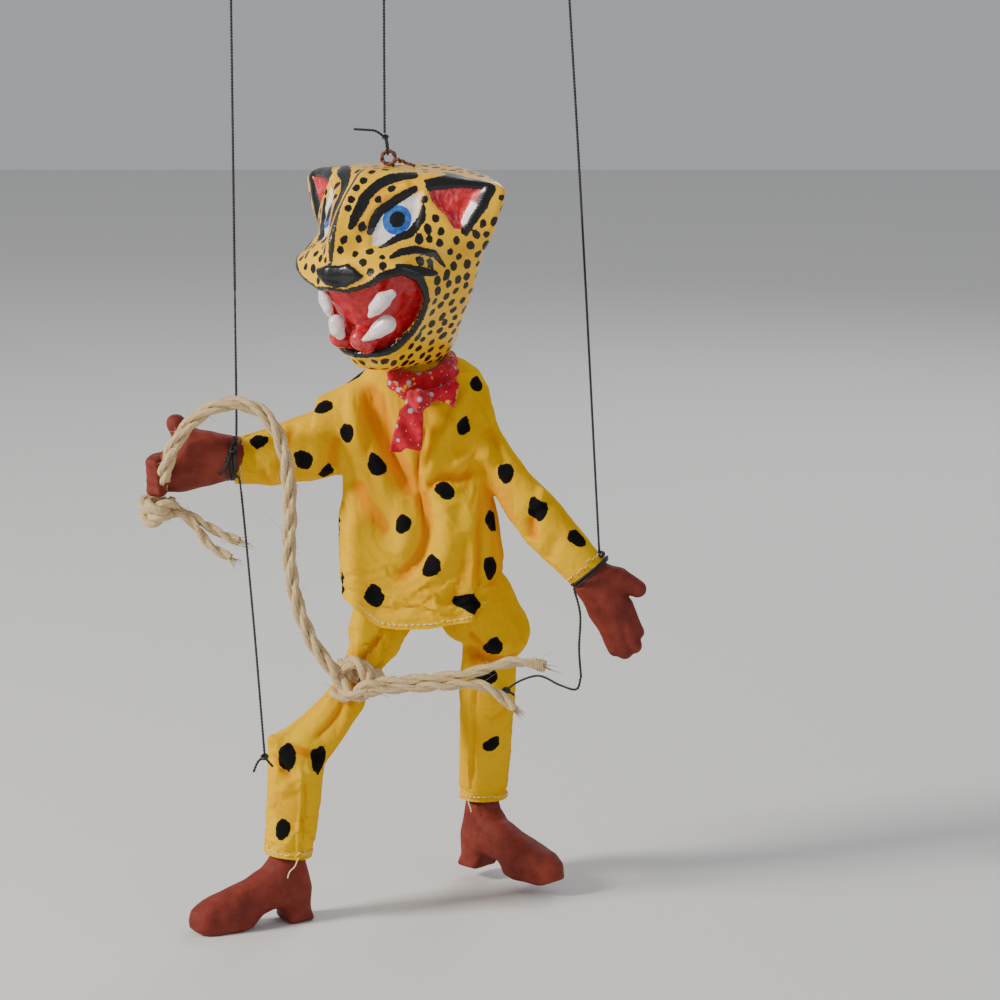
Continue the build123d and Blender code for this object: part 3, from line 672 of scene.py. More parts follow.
# painted shapes on the puppet's left of the face, as (side, height, forward)
BROW = [(6, 333, 42), (6, 337, 39), (7, 342, 36), (7, 346, 33), (8, 349, 29), (10, 352, 26), (13, 354, 23),
        (17, 355, 20), (22, 356, 15)]
UPPER_LINER = [(13, 331, 37), (13, 336, 34), (14, 340, 31), (17, 343, 27), (20, 346, 24), (25, 350, 19)]
LOWER_LINER = [(19, 325, 36), (24, 329, 28), (27, 330, 25), (30, 337, 20), (30, 342, 19)]
EYE_WHITE = [(15, 326, 37), (14, 333, 36), (15, 339, 31), (19, 344, 26), (28, 349, 19), (28, 343, 20),
             (28, 333, 22), (23, 329, 28), (19, 326, 35)]
IRIS = (21.0, 336.5, 27.0)
IRIS_R = 6.5
PUPIL_R = 3.6
CHEEK_STRIPES = ([(25, 320, 37), (27, 322, 32), (31, 323, 26), (36, 321, 19), (39, 315, 15)],
                 [(29, 316, 37), (34, 314, 29), (37, 312, 19)])
MEDIAN = [(-3, 357, 24), (-2.4, 350, 31), (-1.5, 342, 40), (-0.5, 334, 47), (1, 325, 50), (1, 316, 51)]
LIP = [(0, 306, 50), (8, 305, 48), (14, 307, 46), (20, 309, 45), (25, 312, 43), (28, 313, 40),
       (31, 314, 36), (33, 312, 32), (34, 310, 27), (34, 305, 23), (33, 300, 20), (31, 296, 19),
       (27, 290, 18), (23, 284, 19), (19, 280, 21), (16, 276, 25), (12, 274, 28), (5, 273, 30),
       (0, 273, 31)]
NOSE = [(-8, 313.5, 50), (0, 316, 51), (6, 316, 50), (9, 317, 48), (13, 314.5, 46), (17.5, 311.5, 45),
        (13, 309, 47), (9, 307, 48), (4, 306.5, 50), (0, 307.5, 50), (-6, 310, 50)]
EAR_BORDER = [(27, 354, 15), (40, 357, 6), (63, 354, 0), (65, 352, 0), (55, 341, 2), (47, 328, 7),
              (44, 330, 9), (46.5, 337, 8), (49, 343, 5), (51, 350.5, 2), (42, 351, 8), (28.5, 349, 15)]
EAR_RED = [(29, 350, 15), (42, 352, 8), (52.5, 352, 2), (50, 343, 4), (45.5, 331, 8), (42, 332, 11),
           (38, 338, 13), (34.5, 341, 14), (31, 345, 15)]
MOUTH_DEPTH = 9.0


def head_levels(h):
    return [np.interp(h, HEAD_LEVELS[:, 0], HEAD_LEVELS[:, i]) for i in range(1, 8)]


def side_plane(u, f, x1, y1, x2, y2):
    dx, dy = x2 - x1, y2 - y1
    n = np.sqrt(dx * dx + dy * dy)
    nx, ny = dy / n, -dx / n
    outward = np.where(nx * x1 + ny * y1 > 0, 1, -1)
    return outward * ((u - x1) * nx + (f - y1) * ny)


def face_coordinates(u, f):
    """Angle and radius of a place on the face, unrolled about the upright axis of the head."""
    return np.arctan2(u, f + WRAP_BACK), np.sqrt(u ** 2 + (f + WRAP_BACK) ** 2)


def on_face(points, mirror=False):
    sign = -1 if mirror else 1
    return np.array([(math.atan2(sign * u, f + WRAP_BACK), h) for u, h, f in points])


def face_stroke(theta, h, radius, points, width, taper=0.35, mirror=False):
    """Signed distance to a brush stroke that thins at its ends."""
    line = on_face(points, mirror)
    best = np.full(theta.shape, 1e9)
    count = len(line) - 1
    for i in range(count):
        ax, bx = line[i, 0] * radius, line[i + 1, 0] * radius
        ay, by = line[i, 1], line[i + 1, 1]
        px, py = theta * radius - ax, h - ay
        dx, dy = bx - ax, by - ay
        t = np.clip((px * dx + py * dy) / np.maximum(dx * dx + dy * dy, 1e-9), 0, 1)
        along = (i + t) / count
        half = width / 2 * (1 - taper * np.abs(2 * along - 1) ** 3)
        best = np.minimum(best, np.hypot(px - t * dx, py - t * dy) - half)
    return best


def face_area(theta, h, radius, points, mirror=False, both_sides=False):
    """Signed distance to an area on the face, negative inside."""
    ring = on_face(points, mirror)
    if both_sides:
        ring = np.concatenate([ring, (ring * [-1, 1])[::-1]])
    best = np.full(theta.shape, 1e9)
    inside = np.zeros(theta.shape, bool)
    for (ta, ya), (tb, yb) in zip(ring, np.roll(ring, -1, 0)):
        ax, bx = ta * radius, tb * radius
        px, py = theta * radius - ax, h - ya
        dx, dy = bx - ax, yb - ya
        t = np.clip((px * dx + py * dy) / np.maximum(dx * dx + dy * dy, 1e-9), 0, 1)
        best = np.minimum(best, np.hypot(px - t * dx, py - t * dy))
        crosses = (ya > h) != (yb > h)
        level = np.where(crosses, (h - ya) / np.where(yb == ya, 1, yb - ya), 0)
        inside ^= crosses & (theta < ta + (tb - ta) * level)
    return np.where(inside, -best, best)


def face_disc(theta, h, radius, place, size, mirror=False):
    centre = on_face([place], mirror)[0]
    return np.hypot((theta - centre[0]) * radius, h - centre[1]) - size


def head_block(u, f, h):
    """The wedge-shaped block of the head: a flat top, wide ears and a narrow chin."""
    a = np.abs(u)
    nose, muzzle_w, muzzle_f, side_w, side_f, rear_w, rear = head_levels(h)
    d = side_plane(a, f, 0 * nose, nose, muzzle_w, muzzle_f)
    d = smooth_max(d, side_plane(a, f, muzzle_w, muzzle_f, side_w, side_f), 6.0)
    d = smooth_max(d, side_plane(a, f, side_w, side_f, rear_w, -rear), 5.0)
    d = smooth_max(d, -(f + rear), 8.0)
    crown = h - (358.0 - 0.0016 * a * a)
    d = smooth_max(d * 0.93, crown, 5.0)
    return smooth_max(d, 264.0 - h, 5.0)


def head_field(grid):
    u, f, h = grid[..., 0], -grid[..., 1], grid[..., 2]
    d = head_block(u, f, h)
    near = (np.abs(d) < 14) & (h > 262) & (h < 322) & (f > 5)
    theta, radius = face_coordinates(u[near], f[near])
    mouth = face_area(theta, h[near], radius, LIP, both_sides=True) + 0.9
    skin = d[near]
    depth = MOUTH_DEPTH * (0.75 + 0.25 * ramp(-mouth, 0, 9)) * (0.45 + 0.55 * ramp(np.abs(u[near]), 4, 15))
    carved = smooth_max(skin, -np.maximum(mouth, -(skin + depth)), 1.2)
    q = np.stack([u[near], f[near], h[near]], -1)
    tongue = smooth_min(ellipsoid(q, (5.5, 31.5, 281), (6.0, 9.0, 6.5)),
                        ellipsoid(q, (-6.5, 33, 281), (5.0, 8.5, 6.0)), 1.5)
    ridge = cone(q, (3.5, 36, 289, 1.4), (-1.5, 38, 301, 1.9))
    carved = smooth_min(carved, smooth_min(tongue, ridge, 1.5), 1.6)
    d[near] = carved
    return d


def build_head():
    step = 0.85
    verts, faces = surface_mesh(head_field, (-78, -58, 259), (78, 34, 363), step)
    verts = relax(verts, faces, 2, 0.45)
    u, f, h = verts[:, 0], -verts[:, 1], verts[:, 2]
    theta, radius = face_coordinates(u, f)
    pocket = np.where((f > 2) & (h < 318), head_block(u, f, h), 0.0)     # how far inside the carved mouth
    front = ramp(f, -12, -2)
    front_of_ears = np.where(f > -6, 0.0, 50.0)

    def stroke(points, width, taper=0.35):
        return np.minimum(face_stroke(theta, h, radius, points, width, taper),
                          face_stroke(theta, h, radius, points, width, taper, True)) + front_of_ears

    def area(points):
        return np.minimum(face_area(theta, h, radius, points),
                          face_area(theta, h, radius, points, True)) + front_of_ears

    mouth = face_area(theta, h, radius, LIP, both_sides=True) + np.where(f > 4, 0, 50)
    white = area(EYE_WHITE)
    blue = np.minimum(face_disc(theta, h, radius, IRIS, IRIS_R),
                      face_disc(theta, h, radius, IRIS, IRIS_R, True))
    blue = blue + front_of_ears
    pupil = blue + IRIS_R - PUPIL_R
    brow, upper, lower = stroke(BROW, 5.4, 0.5), stroke(UPPER_LINER, 4.0), stroke(LOWER_LINER, 4.0, 0.5)
    cheeks = np.minimum(stroke(CHEEK_STRIPES[0], 3.6, 0.6), stroke(CHEEK_STRIPES[1], 3.8, 0.5))
    nose = face_area(theta, h, radius, NOSE) + front_of_ears
    ear_border, ear_red = area(EAR_BORDER), area(EAR_RED)
    median = face_stroke(theta, h, radius, MEDIAN, 2.5, 0.3) + front_of_ears
    lip_ring = np.concatenate([LIP, (np.array(LIP) * [-1, 1, 1])[::-1]])
    lip = face_stroke(theta, h, radius, lip_ring, 0.0, 0.0) + np.where(f > 4, 0, 50)
    lip_width = (0.75 + 0.95 * ramp(h, 300, 312) * ramp(np.abs(theta), 0.25, 0.5)
                 + 0.35 * ramp(-h, -284, -274))
    lip = lip - lip_width

    normal = normals_of(verts, faces)
    brow_ridge = stroke([(10, 334, 39), (11, 341, 33), (14, 347, 27), (20, 351, 20)], 0.0, 0.0)
    rise = 1.7 * np.exp(-(np.maximum(brow_ridge, 0) / 3.2) ** 2)
    rise += -2.0 * ramp(-white, -3.0, 2.5) + 1.9 * np.exp(-(np.maximum(blue + IRIS_R, 0) / 6.5) ** 2)
    rise += -4.2 * ramp(-ear_red, -2.0, 5.0)
    rise += 2.3 * ramp(-nose, -1.2, 1.4)
    rise += 1.3 * np.exp(-((lip + 0.5) / 2.6) ** 2) * (mouth > -1.2) * (pocket > -1.5)
    rise += 0.5 * ramp(-cheeks, -0.8, 0.6) + 0.35 * ramp(-brow, -0.6, 0.5)
    bridge = np.exp(-(np.abs(theta) * radius / 6.0) ** 2) * ramp(h, 314, 326) * ramp(-h, -352, -338)
    rise += (1.2 * bridge - 1.3 * np.exp(-((np.abs(theta) * radius - 11) / 4.0) ** 2) * ramp(h, 316, 324)
             * ramp(-h, -340, -330))
    rise += 1.6 * np.exp(-((np.abs(theta) * radius - 15) / 7.0) ** 2 - ((h - 317) / 6.0) ** 2)
    hand_made = 0.55 * lumps(verts, 17.0) + 0.25 * lumps(verts, 7.0)
    verts = verts + normal * (rise * front + hand_made)[:, None]
    verts = relax(verts, faces, 1, 0.3)

    features = np.minimum.reduce([mouth, pocket * 4 + 4, white, brow, upper, lower, cheeks, nose,
                                  ear_border, ear_red, median, lip])
    normal = normals_of(verts, faces)
    dots = scatter(verts, features - 0.3, 560, 4.75, random)
    size = random.uniform(1.45, 2.1, len(dots))
    long_way = unit(np.stack([random.normal(0, 0.35, len(dots)), random.normal(0, 0.35, len(dots)),
                              np.ones(len(dots))], -1))
    stretch = np.where(np.abs(normal[dots][:, 1]) < 0.8, random.uniform(1.1, 1.55, len(dots)),
                       random.uniform(1.0, 1.2, len(dots)))
    spots = blob_distance(verts, verts[dots], size, long_way, stretch)
    ink = np.minimum.reduce([pupil, brow, upper, lower, cheeks, nose, ear_border, lip, spots])
    ink = np.where((mouth < -1.4) | (pocket < -1.9), 3.0, ink)
    # Painted shade beside the brow ridge, kept in the valley attribute for the head paint.
    brow_shade = ramp(np.exp(-(np.abs(brow_ridge - 2.5) / 2.0) ** 2) * front, 0.2, 1.0) * 0.6
    place = HEAD_CENTRE + verts[:, :1] * SIDE_WAY + verts[:, 1:2] * BACK_WAY + verts[:, 2:] * [0, 0, 1]
    head = make_object("cat_head", place, faces, HEAD_PAINT,
                       {"ink": ink, "white": white, "blue": blue, "ear_red": ear_red,
                        "mouth": np.minimum(mouth + 0.9, pocket + 1.3), "valley": brow_shade,
                        "grey_line": np.where((mouth < 0) | (pocket < -1.5), 3.0, median),
                        "mouth_height": ramp(h, 278, 304)})
    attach(head, "head")
    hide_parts("head_shell")
    return verts


def scatter(verts, clearance, wanted, spacing, generator, size=2.0):
    """Indices of vertices spread at least spacing apart, clear of the painted features."""
    order = generator.permutation(len(verts))
    order = order[clearance[order] > size]
    chosen = np.zeros((0, 3))
    picks = []
    for index in order:
        if len(picks) >= wanted:
            break
        if len(picks) and (((chosen - verts[index]) ** 2).sum(1) < spacing ** 2).any():
            continue
        chosen = np.concatenate([chosen, verts[index:index + 1]])
        picks.append(index)
    return np.array(picks)


def blob_distance(points, centres, sizes, long_way, stretch):
    """Signed distance to the nearest of many soft-edged oval brush dabs."""
    best = np.full(len(points), 1e9)
    for centre, size, way, ratio in zip(centres, sizes, long_way, stretch):
        reach = size * ratio + 3.0
        near = np.flatnonzero((np.abs(points - centre) < reach).all(1))
        q = points[near] - centre
        along = q @ way
        across = np.sqrt(np.maximum((q ** 2).sum(1) - along ** 2, 0))
        d = np.hypot(along / ratio, across) - size
        best[near] = np.minimum(best[near], d)
    return np.minimum(best, 3.0)


def head_place(u, h, f):
    return HEAD_CENTRE + u * SIDE_WAY - f * BACK_WAY + np.array([0, 0, h])


def solid(name, field, low, high, step, material, body, nodes=(), rounds=2, attributes=None,
          lumpy=0.0):
    """A closed piece from a distance field."""
    verts, faces = surface_mesh(field, low, high, step)
    verts = relax(verts, faces, rounds, 0.4)
    if lumpy:
        verts = verts + normals_of(verts, faces) * (lumpy * lumps(verts, 5.0))[:, None]
    values = {key: function(verts, faces) for key, function in (attributes or {}).items()}
    piece = make_object(name, verts, faces, material, values)
    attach(piece, body)
    if nodes:
        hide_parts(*nodes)
    return piece


# each fang is a bent cone: (side, height, forward, radius) stations
FANGS = {
    "upper_fang_left": [(26.5, 303.4, 38, 2.2), (23.5, 300.6, 40.5, 4.0), (20.5, 297, 42, 3.4),
                        (18, 293.4, 43, 1.3)],
    "upper_fang_right": [(-12, 302, 41, 2.3), (-9, 298.5, 43, 3.2), (-6.5, 294.5, 44, 2.4),
                         (-5.8, 292, 44, 1.2)],
    "lower_fang_left": [(21.8, 289.0, 36, 4.5), (18.5, 286.2, 38, 3.8), (14.5, 283.4, 39, 2.2),
                        (10.5, 281.2, 39, 1.0)],
    "lower_fang_right": [(-3, 288.6, 42.5, 3.6), (-2.4, 285.6, 42.5, 3.7), (-1.8, 283.0, 41.0, 2.6)],
}


def build_fangs():
    for name, stations in FANGS.items():
        points = [(*head_place(u, h, f), r) for u, h, f, r in stations]
        corners = np.array([p[:3] for p in points])
        nodes = {"upper_fang_left": ["upper_fangs"], "lower_fang_left": ["lower_fangs"]}.get(name, [])
        solid(name, lambda grid, s=points: chain(grid, s), corners.min(0) - 5, corners.max(0) + 5, 0.45,
              ENAMEL, "head", nodes, 3, lumpy=0.15)


# ---------------------------------------------------------------- garments
# height, centre x, centre y, half width, half depth
SHIRT_LEVELS = np.array([(130, 13, -3, 38, 27), (155, 14, -2, 38, 26), (172, 14, -2, 39, 25),
                         (192, 13, -1, 38, 24), (206, 12, 0, 34.5, 22), (216, 11, 0, 33, 20),
                         (228, 12, 1, 34, 19), (240, 13, 1, 35, 18), (250, 13, 1, 34, 15.5),
                         (256, 14, 1, 30, 13.5), (260, 15, 0, 27, 12.5), (265, 15, 0, 19, 10)], float)
RIGHT_STUB = [(-6, 0, 240, 16.5), (-25, -3, 232, 17.8), (-44, -9, 224.5, 17.2)]
RIGHT_SLEEVE = [(-30, -6, 226, 15.8), (-40, -9, 223.5, 15.8), (-56, -15, 221, 13.4),
                (-80, -21.5, 218.8, 10.3)]
LEFT_SLEEVE = [(32, -1, 240, 16), (43, -4, 225, 11.5), (57, -10, 207, 9.8), (66, -13, 196, 11.8),
               (74, -15, 186.5, 12.2), (90.5, -20, 169.3, 10.6), (99, -21, 160, 10.3)]
SHOULDER_SEAM = (-35.5, 243.0, -0.17)     # x at a height, and how x changes with height
LEFT_CUFF = np.array([94.0, -20.5, 166.8])
LEFT_CUFF_WAY = unit([0.66, -0.12, -0.74])
RIGHT_CUFF_X = -72.6
HEM_FRONT = np.array([(-30, 154), (-25, 153), (-18, 149), (-11, 143.8), (-5, 140.6), (4, 139.8),
                      (18, 140.2), (30, 142.2), (41.5, 144.5), (43, 148.5), (56, 149.7)], float)
HEM_BACK_Z = 149.0
SIDE_CREASE = np.array([(43.4, -20, 213), (43.8, -20, 205), (42.2, -21, 196), (40.4, -21.5, 172),
                        (39.6, -21, 154), (41.3, -21, 143)], float)


def body_field(p):
    cx, cy, hw, hd = (np.interp(p[..., 2], SHIRT_LEVELS[:, 0], SHIRT_LEVELS[:, i]) for i in range(1, 5))
    x, y = (p[..., 0] - cx) / hw, (p[..., 1] - cy) / hd
    power = 2.5
    q = (np.abs(x) ** power + np.abs(y) ** power) ** (1 / power)
    slope = np.hypot(x / hw, y / hd) / np.maximum(np.hypot(x, y), 1e-6)
    d = (q - 1) / np.maximum(slope, 1e-3)
    return np.maximum(d, p[..., 2] - 265)


def seam_side(p):
    """Negative on the body's side of the right shoulder seam."""
    x, z, slope = SHOULDER_SEAM
    return (x + (z - p[..., 2]) * slope) - p[..., 0]


def shirt_field(p):
    body = body_field(p)
    left = flat_chain(p, LEFT_SLEEVE, 1.2)
    d = smooth_min(body, left, 3.0)
    stub = smooth_max(flat_chain(p, RIGHT_STUB, 1.25), seam_side(p), 1.0)
    d = smooth_min(d, stub, 6.0)
    sleeve = flat_chain(p, RIGHT_SLEEVE, 1.25)
    return np.minimum(d, sleeve)


def hem_height(p):
    front = np.interp(p[:, 0], HEM_FRONT[:, 0], HEM_FRONT[:, 1])
    return front + (HEM_BACK_Z - front) * ramp(p[:, 1], -8, 8)


def shirt_cut(p):
    hem = hem_height(p) - p[:, 2]
    far_left = (p - LEFT_CUFF) @ LEFT_CUFF_WAY
    far_right = RIGHT_CUFF_X - p[:, 0] + 0.05 * (p[:, 2] - 219)
    neck = np.minimum(p[:, 2] - 252, 10.5 - np.hypot(p[:, 0] - 16, p[:, 1] - 0))
    hem = np.where((p[:, 0] > 60) | (p[:, 0] < -40), -5.0, hem)
    far_left = np.where(p[:, 0] > 70, far_left, -5.0)
    return np.maximum.reduce([hem, far_left, far_right, neck])


# folds on the front of the shirt: (line as x and z, width, height); a valley has a negative height
SHIRT_FOLDS = [
    ([(-13, 257), (-8, 246), (-3, 232), (4, 216.5), (12, 204)], 6.5, -4.2),
    ([(-19, 252), (-17, 238), (-13, 224), (-5, 212), (3, 203)], 7.0, 2.6),
    ([(-2, 227), (6, 215), (13, 203)], 2.6, -1.6),
    ([(13, 226), (13.4, 212), (14.5, 199), (15.5, 186)], 1.5, -1.8),
    ([(37, 251), (30, 242), (23.5, 231), (19.5, 222), (17.5, 211)], 5.0, 2.6),
    ([(16, 238), (15, 226), (14.6, 214)], 4.0, -1.8),
    ([(41.5, 214.5), (32, 213.8), (22, 213.2), (17.4, 206)], 3.2, -3.0),
    ([(50, 221), (38, 220.4), (27, 218)], 5.0, 2.8),
    ([(15.5, 209), (17.6, 200), (18.4, 191), (15.4, 182), (9.7, 173), (0.7, 163)], 5.0, -2.9),
    ([(23, 205), (27, 193), (26, 180), (21, 168)], 7.0, 2.4),
    ([(-18, 214), (-13, 203), (-6, 194), (2, 186)], 6.5, -2.6),
    ([(-16, 192), (-14, 178), (-10, 166)], 9.0, 1.8),
    ([(4, 196), (7, 186), (2, 176)], 7.0, 1.8),
    ([(33, 190), (34, 174), (31, 158), (28, 147)], 6.0, -1.5),
    ([(12, 166), (20, 156), (27, 146)], 6.5, 1.3),
    ([(-24, 233), (-27, 222), (-27, 213)], 5.5, -2.0),
    ([(-33, 236), (-34, 224), (-36, 212)], 5.0, 1.3),
    ([(44, 236), (49, 228), (54, 216)], 3.5, -1.5),
    ([(38, 255), (44, 244), (50, 232), (53, 222)], 2.0, -0.9),
    ([(68, 199), (66.5, 190), (66, 180)], 3.8, -2.6),
    ([(73, 208), (70, 200), (64, 192)], 3.0, 1.4),
    ([(80, 186), (76, 178), (74, 171)], 4.0, -1.3),
    ([(-44, 238), (-48, 228), (-50, 214)], 3.6, -1.6),
    ([(-60, 218), (-58, 211), (-56, 205)], 2.4, -1.3),
    ([(-66, 231), (-64, 224), (-66, 214)], 3.5, -0.8),
]
# black spots brushed on the front, as x and z
SHIRT_SPOTS = [(-16, 258.5), (-20, 233.9), (-7.1, 219.1), (24.9, 206.2), (6.9, 191.8), (19.1, 172.1),
               (-7.9, 157.2), (34.3, 236.2), (40.9, 254.7), (47.5, 190.4), (47, 169.7), (37.0, 153.5),
               (-30.8, 244.7), (-31.1, 213.8), (-24.7, 186.1), (-23.5, 160.6), (54.1, 214.3), (68.2, 197.6),
               (87.1, 183.5), (-60.5, 229.6), (-41.4, 221.5)]
TROUSER_SPOTS = [(-48.1, 85.7), (-50.3, 49.9), (48.9, 130.4), (46.0, 113.4), (48.8, 77.8), (-34, 84)]

RIGHT_LEG = [(3, -2, 160, 17.5), (-7.5, -12, 135, 13.2), (-15.6, -24, 116.5, 6.0), (-21, -28, 106, 8.6),
             (-32, -33, 95, 10.6), (-45, -37.5, 83, 13.4), (-46, -38, 62, 12.9), (-50, -38, 26, 11.4)]
RIGHT_KNEE_POINT = [(-46, -38, 84, 8.5), (-56, -43, 91.5, 3.0)]
LEFT_LEG_UPPER = [(30, -1, 160, 17), (40, -2, 148, 19.5), (50.5, -3, 136, 15.5), (48, -1, 127, 12.5)]
LEFT_LEG_LOWER = [(46, -1, 124, 12.8), (45.5, 1, 112, 13.7), (45.5, 5, 98, 13.3), (44.8, 15, 78, 12.8),
                  (43.4, 31, 50, 12.2), (43, 38, 36, 12.0)]
RIGHT_CUFF_Z = 33.5
LEFT_CUFF_Z = 42.0
CINCH = np.array([-15.6, -24.0, 116.5])
CINCH_WAY = unit([-0.35, -0.42, -0.84])
TROUSER_FOLDS = [
    ([(-17, 114), (-12, 126), (-4, 138)], 2.6, -1.8),
    ([(-15, 114), (-19, 127), (-20, 142)], 2.6, -1.3),
    ([(-20, 110), (-26, 101), (-36, 92)], 2.8, -1.4),
    ([(-30, 82), (-38, 86), (-50, 91)], 3.2, -2.2),
    ([(-31, 88), (-24, 94), (-19, 102)], 3.0, 1.2),
    ([(-57, 86), (-50, 78), (-42, 70)], 3.6, -1.6),
    ([(-35, 80), (-44, 74), (-54, 66)], 4.0, 1.2),
    ([(-42.5, 82), (-42, 67), (-43, 52), (-44, 34)], 1.3, 0.9),
    ([(-40.5, 82), (-40, 67), (-41, 52), (-42, 34)], 1.6, -0.9),
    ([(-58, 60), (-50, 54), (-42, 50)], 4.0, -0.9),
    ([(66, 128), (56, 122), (44, 124), (34, 129)], 2.8, -2.8),
    ([(64, 134), (54, 129), (44, 131)], 4.0, 1.8),
    ([(36, 138), (42, 131), (50, 126)], 3.0, -1.6),
    ([(36, 127), (40, 118), (38, 108)], 3.2, -1.4),
    ([(39, 118), (37.4, 98), (37, 78), (36, 52)], 1.3, 0.9),
    ([(41, 118), (39.4, 98), (39, 78), (38, 52)], 1.6, -0.9),
    ([(58, 100), (52, 94), (45, 91)], 4.0, -1.1),
    ([(57, 78), (50, 72), (44, 70)], 4.5, -0.8),
]


def trouser_field(p):
    seat = ellipsoid(p, (15, -1, 170), (31, 16.5, 24))
    right = chain(p, RIGHT_LEG)
    right = smooth_min(right, chain(p, RIGHT_KNEE_POINT), 3.0)
    left = smooth_min(chain(p, LEFT_LEG_UPPER), chain(p, LEFT_LEG_LOWER), 1.5)
    return smooth_min(smooth_min(seat, right, 8.0), left, 8.0)


def trouser_cut(p):
    right = np.where(p[:, 0] < 5, RIGHT_CUFF_Z + 0.12 * (-49.0 - p[:, 0]) - p[:, 2], -5.0)
    left = np.where(p[:, 0] > 5, LEFT_CUFF_Z - p[:, 2], -5.0)
    return np.maximum.reduce([right, left, p[:, 2] - 176.0])


FOLD_STRENGTH = 1.3
FOLD_SHARPNESS = 0.82


def press_folds(verts, faces, folds):
    """Presses folds into the front, and returns the new vertices and how deep in a valley each one is."""
    normal = normals_of(verts, faces)
    facing = ramp(-normal[:, 1], 0.05, 0.55)
    flat = verts[:, [0, 2]]
    rise = np.zeros(len(verts))
    for line, width, height in folds:
        d, along = polyline_nearest(flat, catmull(line, 2.0))
        ends = np.clip(np.sin(np.clip(along, 0.02, 0.98) * math.pi) * 2.2, 0.25, 1)
        rise += FOLD_STRENGTH * height * ends * np.exp(-(d / (width * FOLD_SHARPNESS)) ** 2) * facing
    return verts + normal * rise[:, None], rise


def spot_distance(verts, normal, places, back_count, generator):
    """Signed distance to brushed spots: given places in front, and spread ones behind."""
    centres = []
    for x, z in places:
        score = np.hypot(verts[:, 0] - x, verts[:, 2] - z) + 4.0 * (normal[:, 1] > 0.15)
        centres.append(np.argmin(score))
    centres = list(centres)
    taken = verts[centres]
    away = np.full(len(verts), 9.0)
    away[(normal[:, 1] < 0.25) | (verts[:, 1] < 3)] = 0.0
    for point in taken:
        away[np.linalg.norm(verts - point, axis=1) < 17] = 0.0
    extra = scatter(verts, away, back_count, 21.0, generator)
    centres = np.concatenate([centres, extra]).astype(int)
    best = np.full(len(verts), 6.0)
    for index in centres:
        size = generator.uniform(3.3, 4.3)
        ratio = generator.uniform(1.1, 1.5)
        lean = generator.normal(0, 0.5)
        n = normal[index]
        up = unit(np.array([math.sin(lean), 0, math.cos(lean)])
                  - n * (n[0] * math.sin(lean) + n[2] * math.cos(lean)))
        side = np.cross(n, up)
        near = np.flatnonzero((np.abs(verts - verts[index]) < 11).all(1))
        q = verts[near] - verts[index]
        a, b = q @ up, q @ side
        depth = np.abs(q @ n)
        angle = np.arctan2(b, a)
        drop = (1 - 0.24 * np.cos(angle) - 0.07 * np.cos(3 * angle + 6 * lean)
                - 0.03 * np.cos(5 * angle + 9 * lean))
        d = np.hypot(a / ratio, b) - size * drop
        d = np.where(depth > 8, 6.0, d)
        best[near] = np.minimum(best[near], d)
    return best


# farthest that the simulation may move the cloth, in mm
DRAPE_REACH = 3.0


def drape(name, verts, faces, hold_weight, frames, expand):
    """Lets the cloth sag, tied softly to its cut, so that it buckles into small wrinkles."""
    obj = make_object(name + "_drape", verts, faces)
    group = obj.vertex_groups.new(name="hold")
    levels = np.round(hold_weight, 2)
    for level in np.unique(levels):
        group.add(np.flatnonzero(levels == level).tolist(), float(level), "REPLACE")
    cloth = obj.modifiers.new("cloth", "CLOTH")
    cloth.settings.quality = 4
    cloth.settings.mass = 0.15
    cloth.settings.tension_stiffness = 12
    cloth.settings.compression_stiffness = 12
    cloth.settings.shear_stiffness = 4
    cloth.settings.bending_stiffness = 0.02
    cloth.settings.vertex_group_mass = "hold"
    cloth.settings.pin_stiffness = 0.6
    cloth.settings.shrink_min = -expand
    cloth.settings.effector_weights.gravity = 0.3
    cloth.collision_settings.use_collision = False
    cloth.point_cache.frame_start = 1
    cloth.point_cache.frame_end = frames
    scene = bpy.context.scene
    for number in range(1, frames + 1):
        scene.frame_set(number)
    evaluated = obj.evaluated_get(bpy.context.evaluated_depsgraph_get())
    co = np.empty(len(verts) * 3, np.float32)
    evaluated.data.vertices.foreach_get("co", co)
    scene.frame_set(1)
    bpy.data.objects.remove(obj)
    settled = (co.reshape(-1, 3).astype(float) - ORIGIN) / MM
    move = settled - verts
    length = np.linalg.norm(move, axis=1, keepdims=True)
    return verts + move * np.minimum(1, DRAPE_REACH / np.maximum(length, 1e-9))


def thick_cloth(verts, faces, thickness):
    """Outer and inner skins joined round the open edges, with a normal for each vertex."""
    normal = normals_of(verts, faces)
    count = len(verts)
    rim = open_edges(faces)
    wall = np.stack([rim[:, 1], rim[:, 0], rim[:, 0] + count, rim[:, 1] + count], -1)
    all_verts = np.concatenate([verts, verts - normal * thickness])
    all_faces = np.concatenate([faces, faces[:, ::-1] + count, wall])
    owner = np.concatenate([faces.min(1), faces.min(1), rim.min(1)])
    return all_verts, all_faces, np.concatenate([normal, -normal]), owner


def cloth_pieces(verts, faces, thickness, labels, names, attributes):
    """Splits a garment into pieces by a label for each vertex. Pieces share their edge places and normals."""
    all_verts, all_faces, normal, owner = thick_cloth(verts, faces, thickness)
    pieces = {}
    for label, name in enumerate(names):
        chosen = all_faces[labels[owner] == label]
        if not len(chosen):
            continue
        part_verts, part_faces, used = drop_unused(all_verts, chosen)
        values = {key: np.concatenate([value, value])[used] for key, value in attributes.items()}
        pieces[name] = make_object(name, part_verts, part_faces, COTTON, values, normal[used])
    return pieces


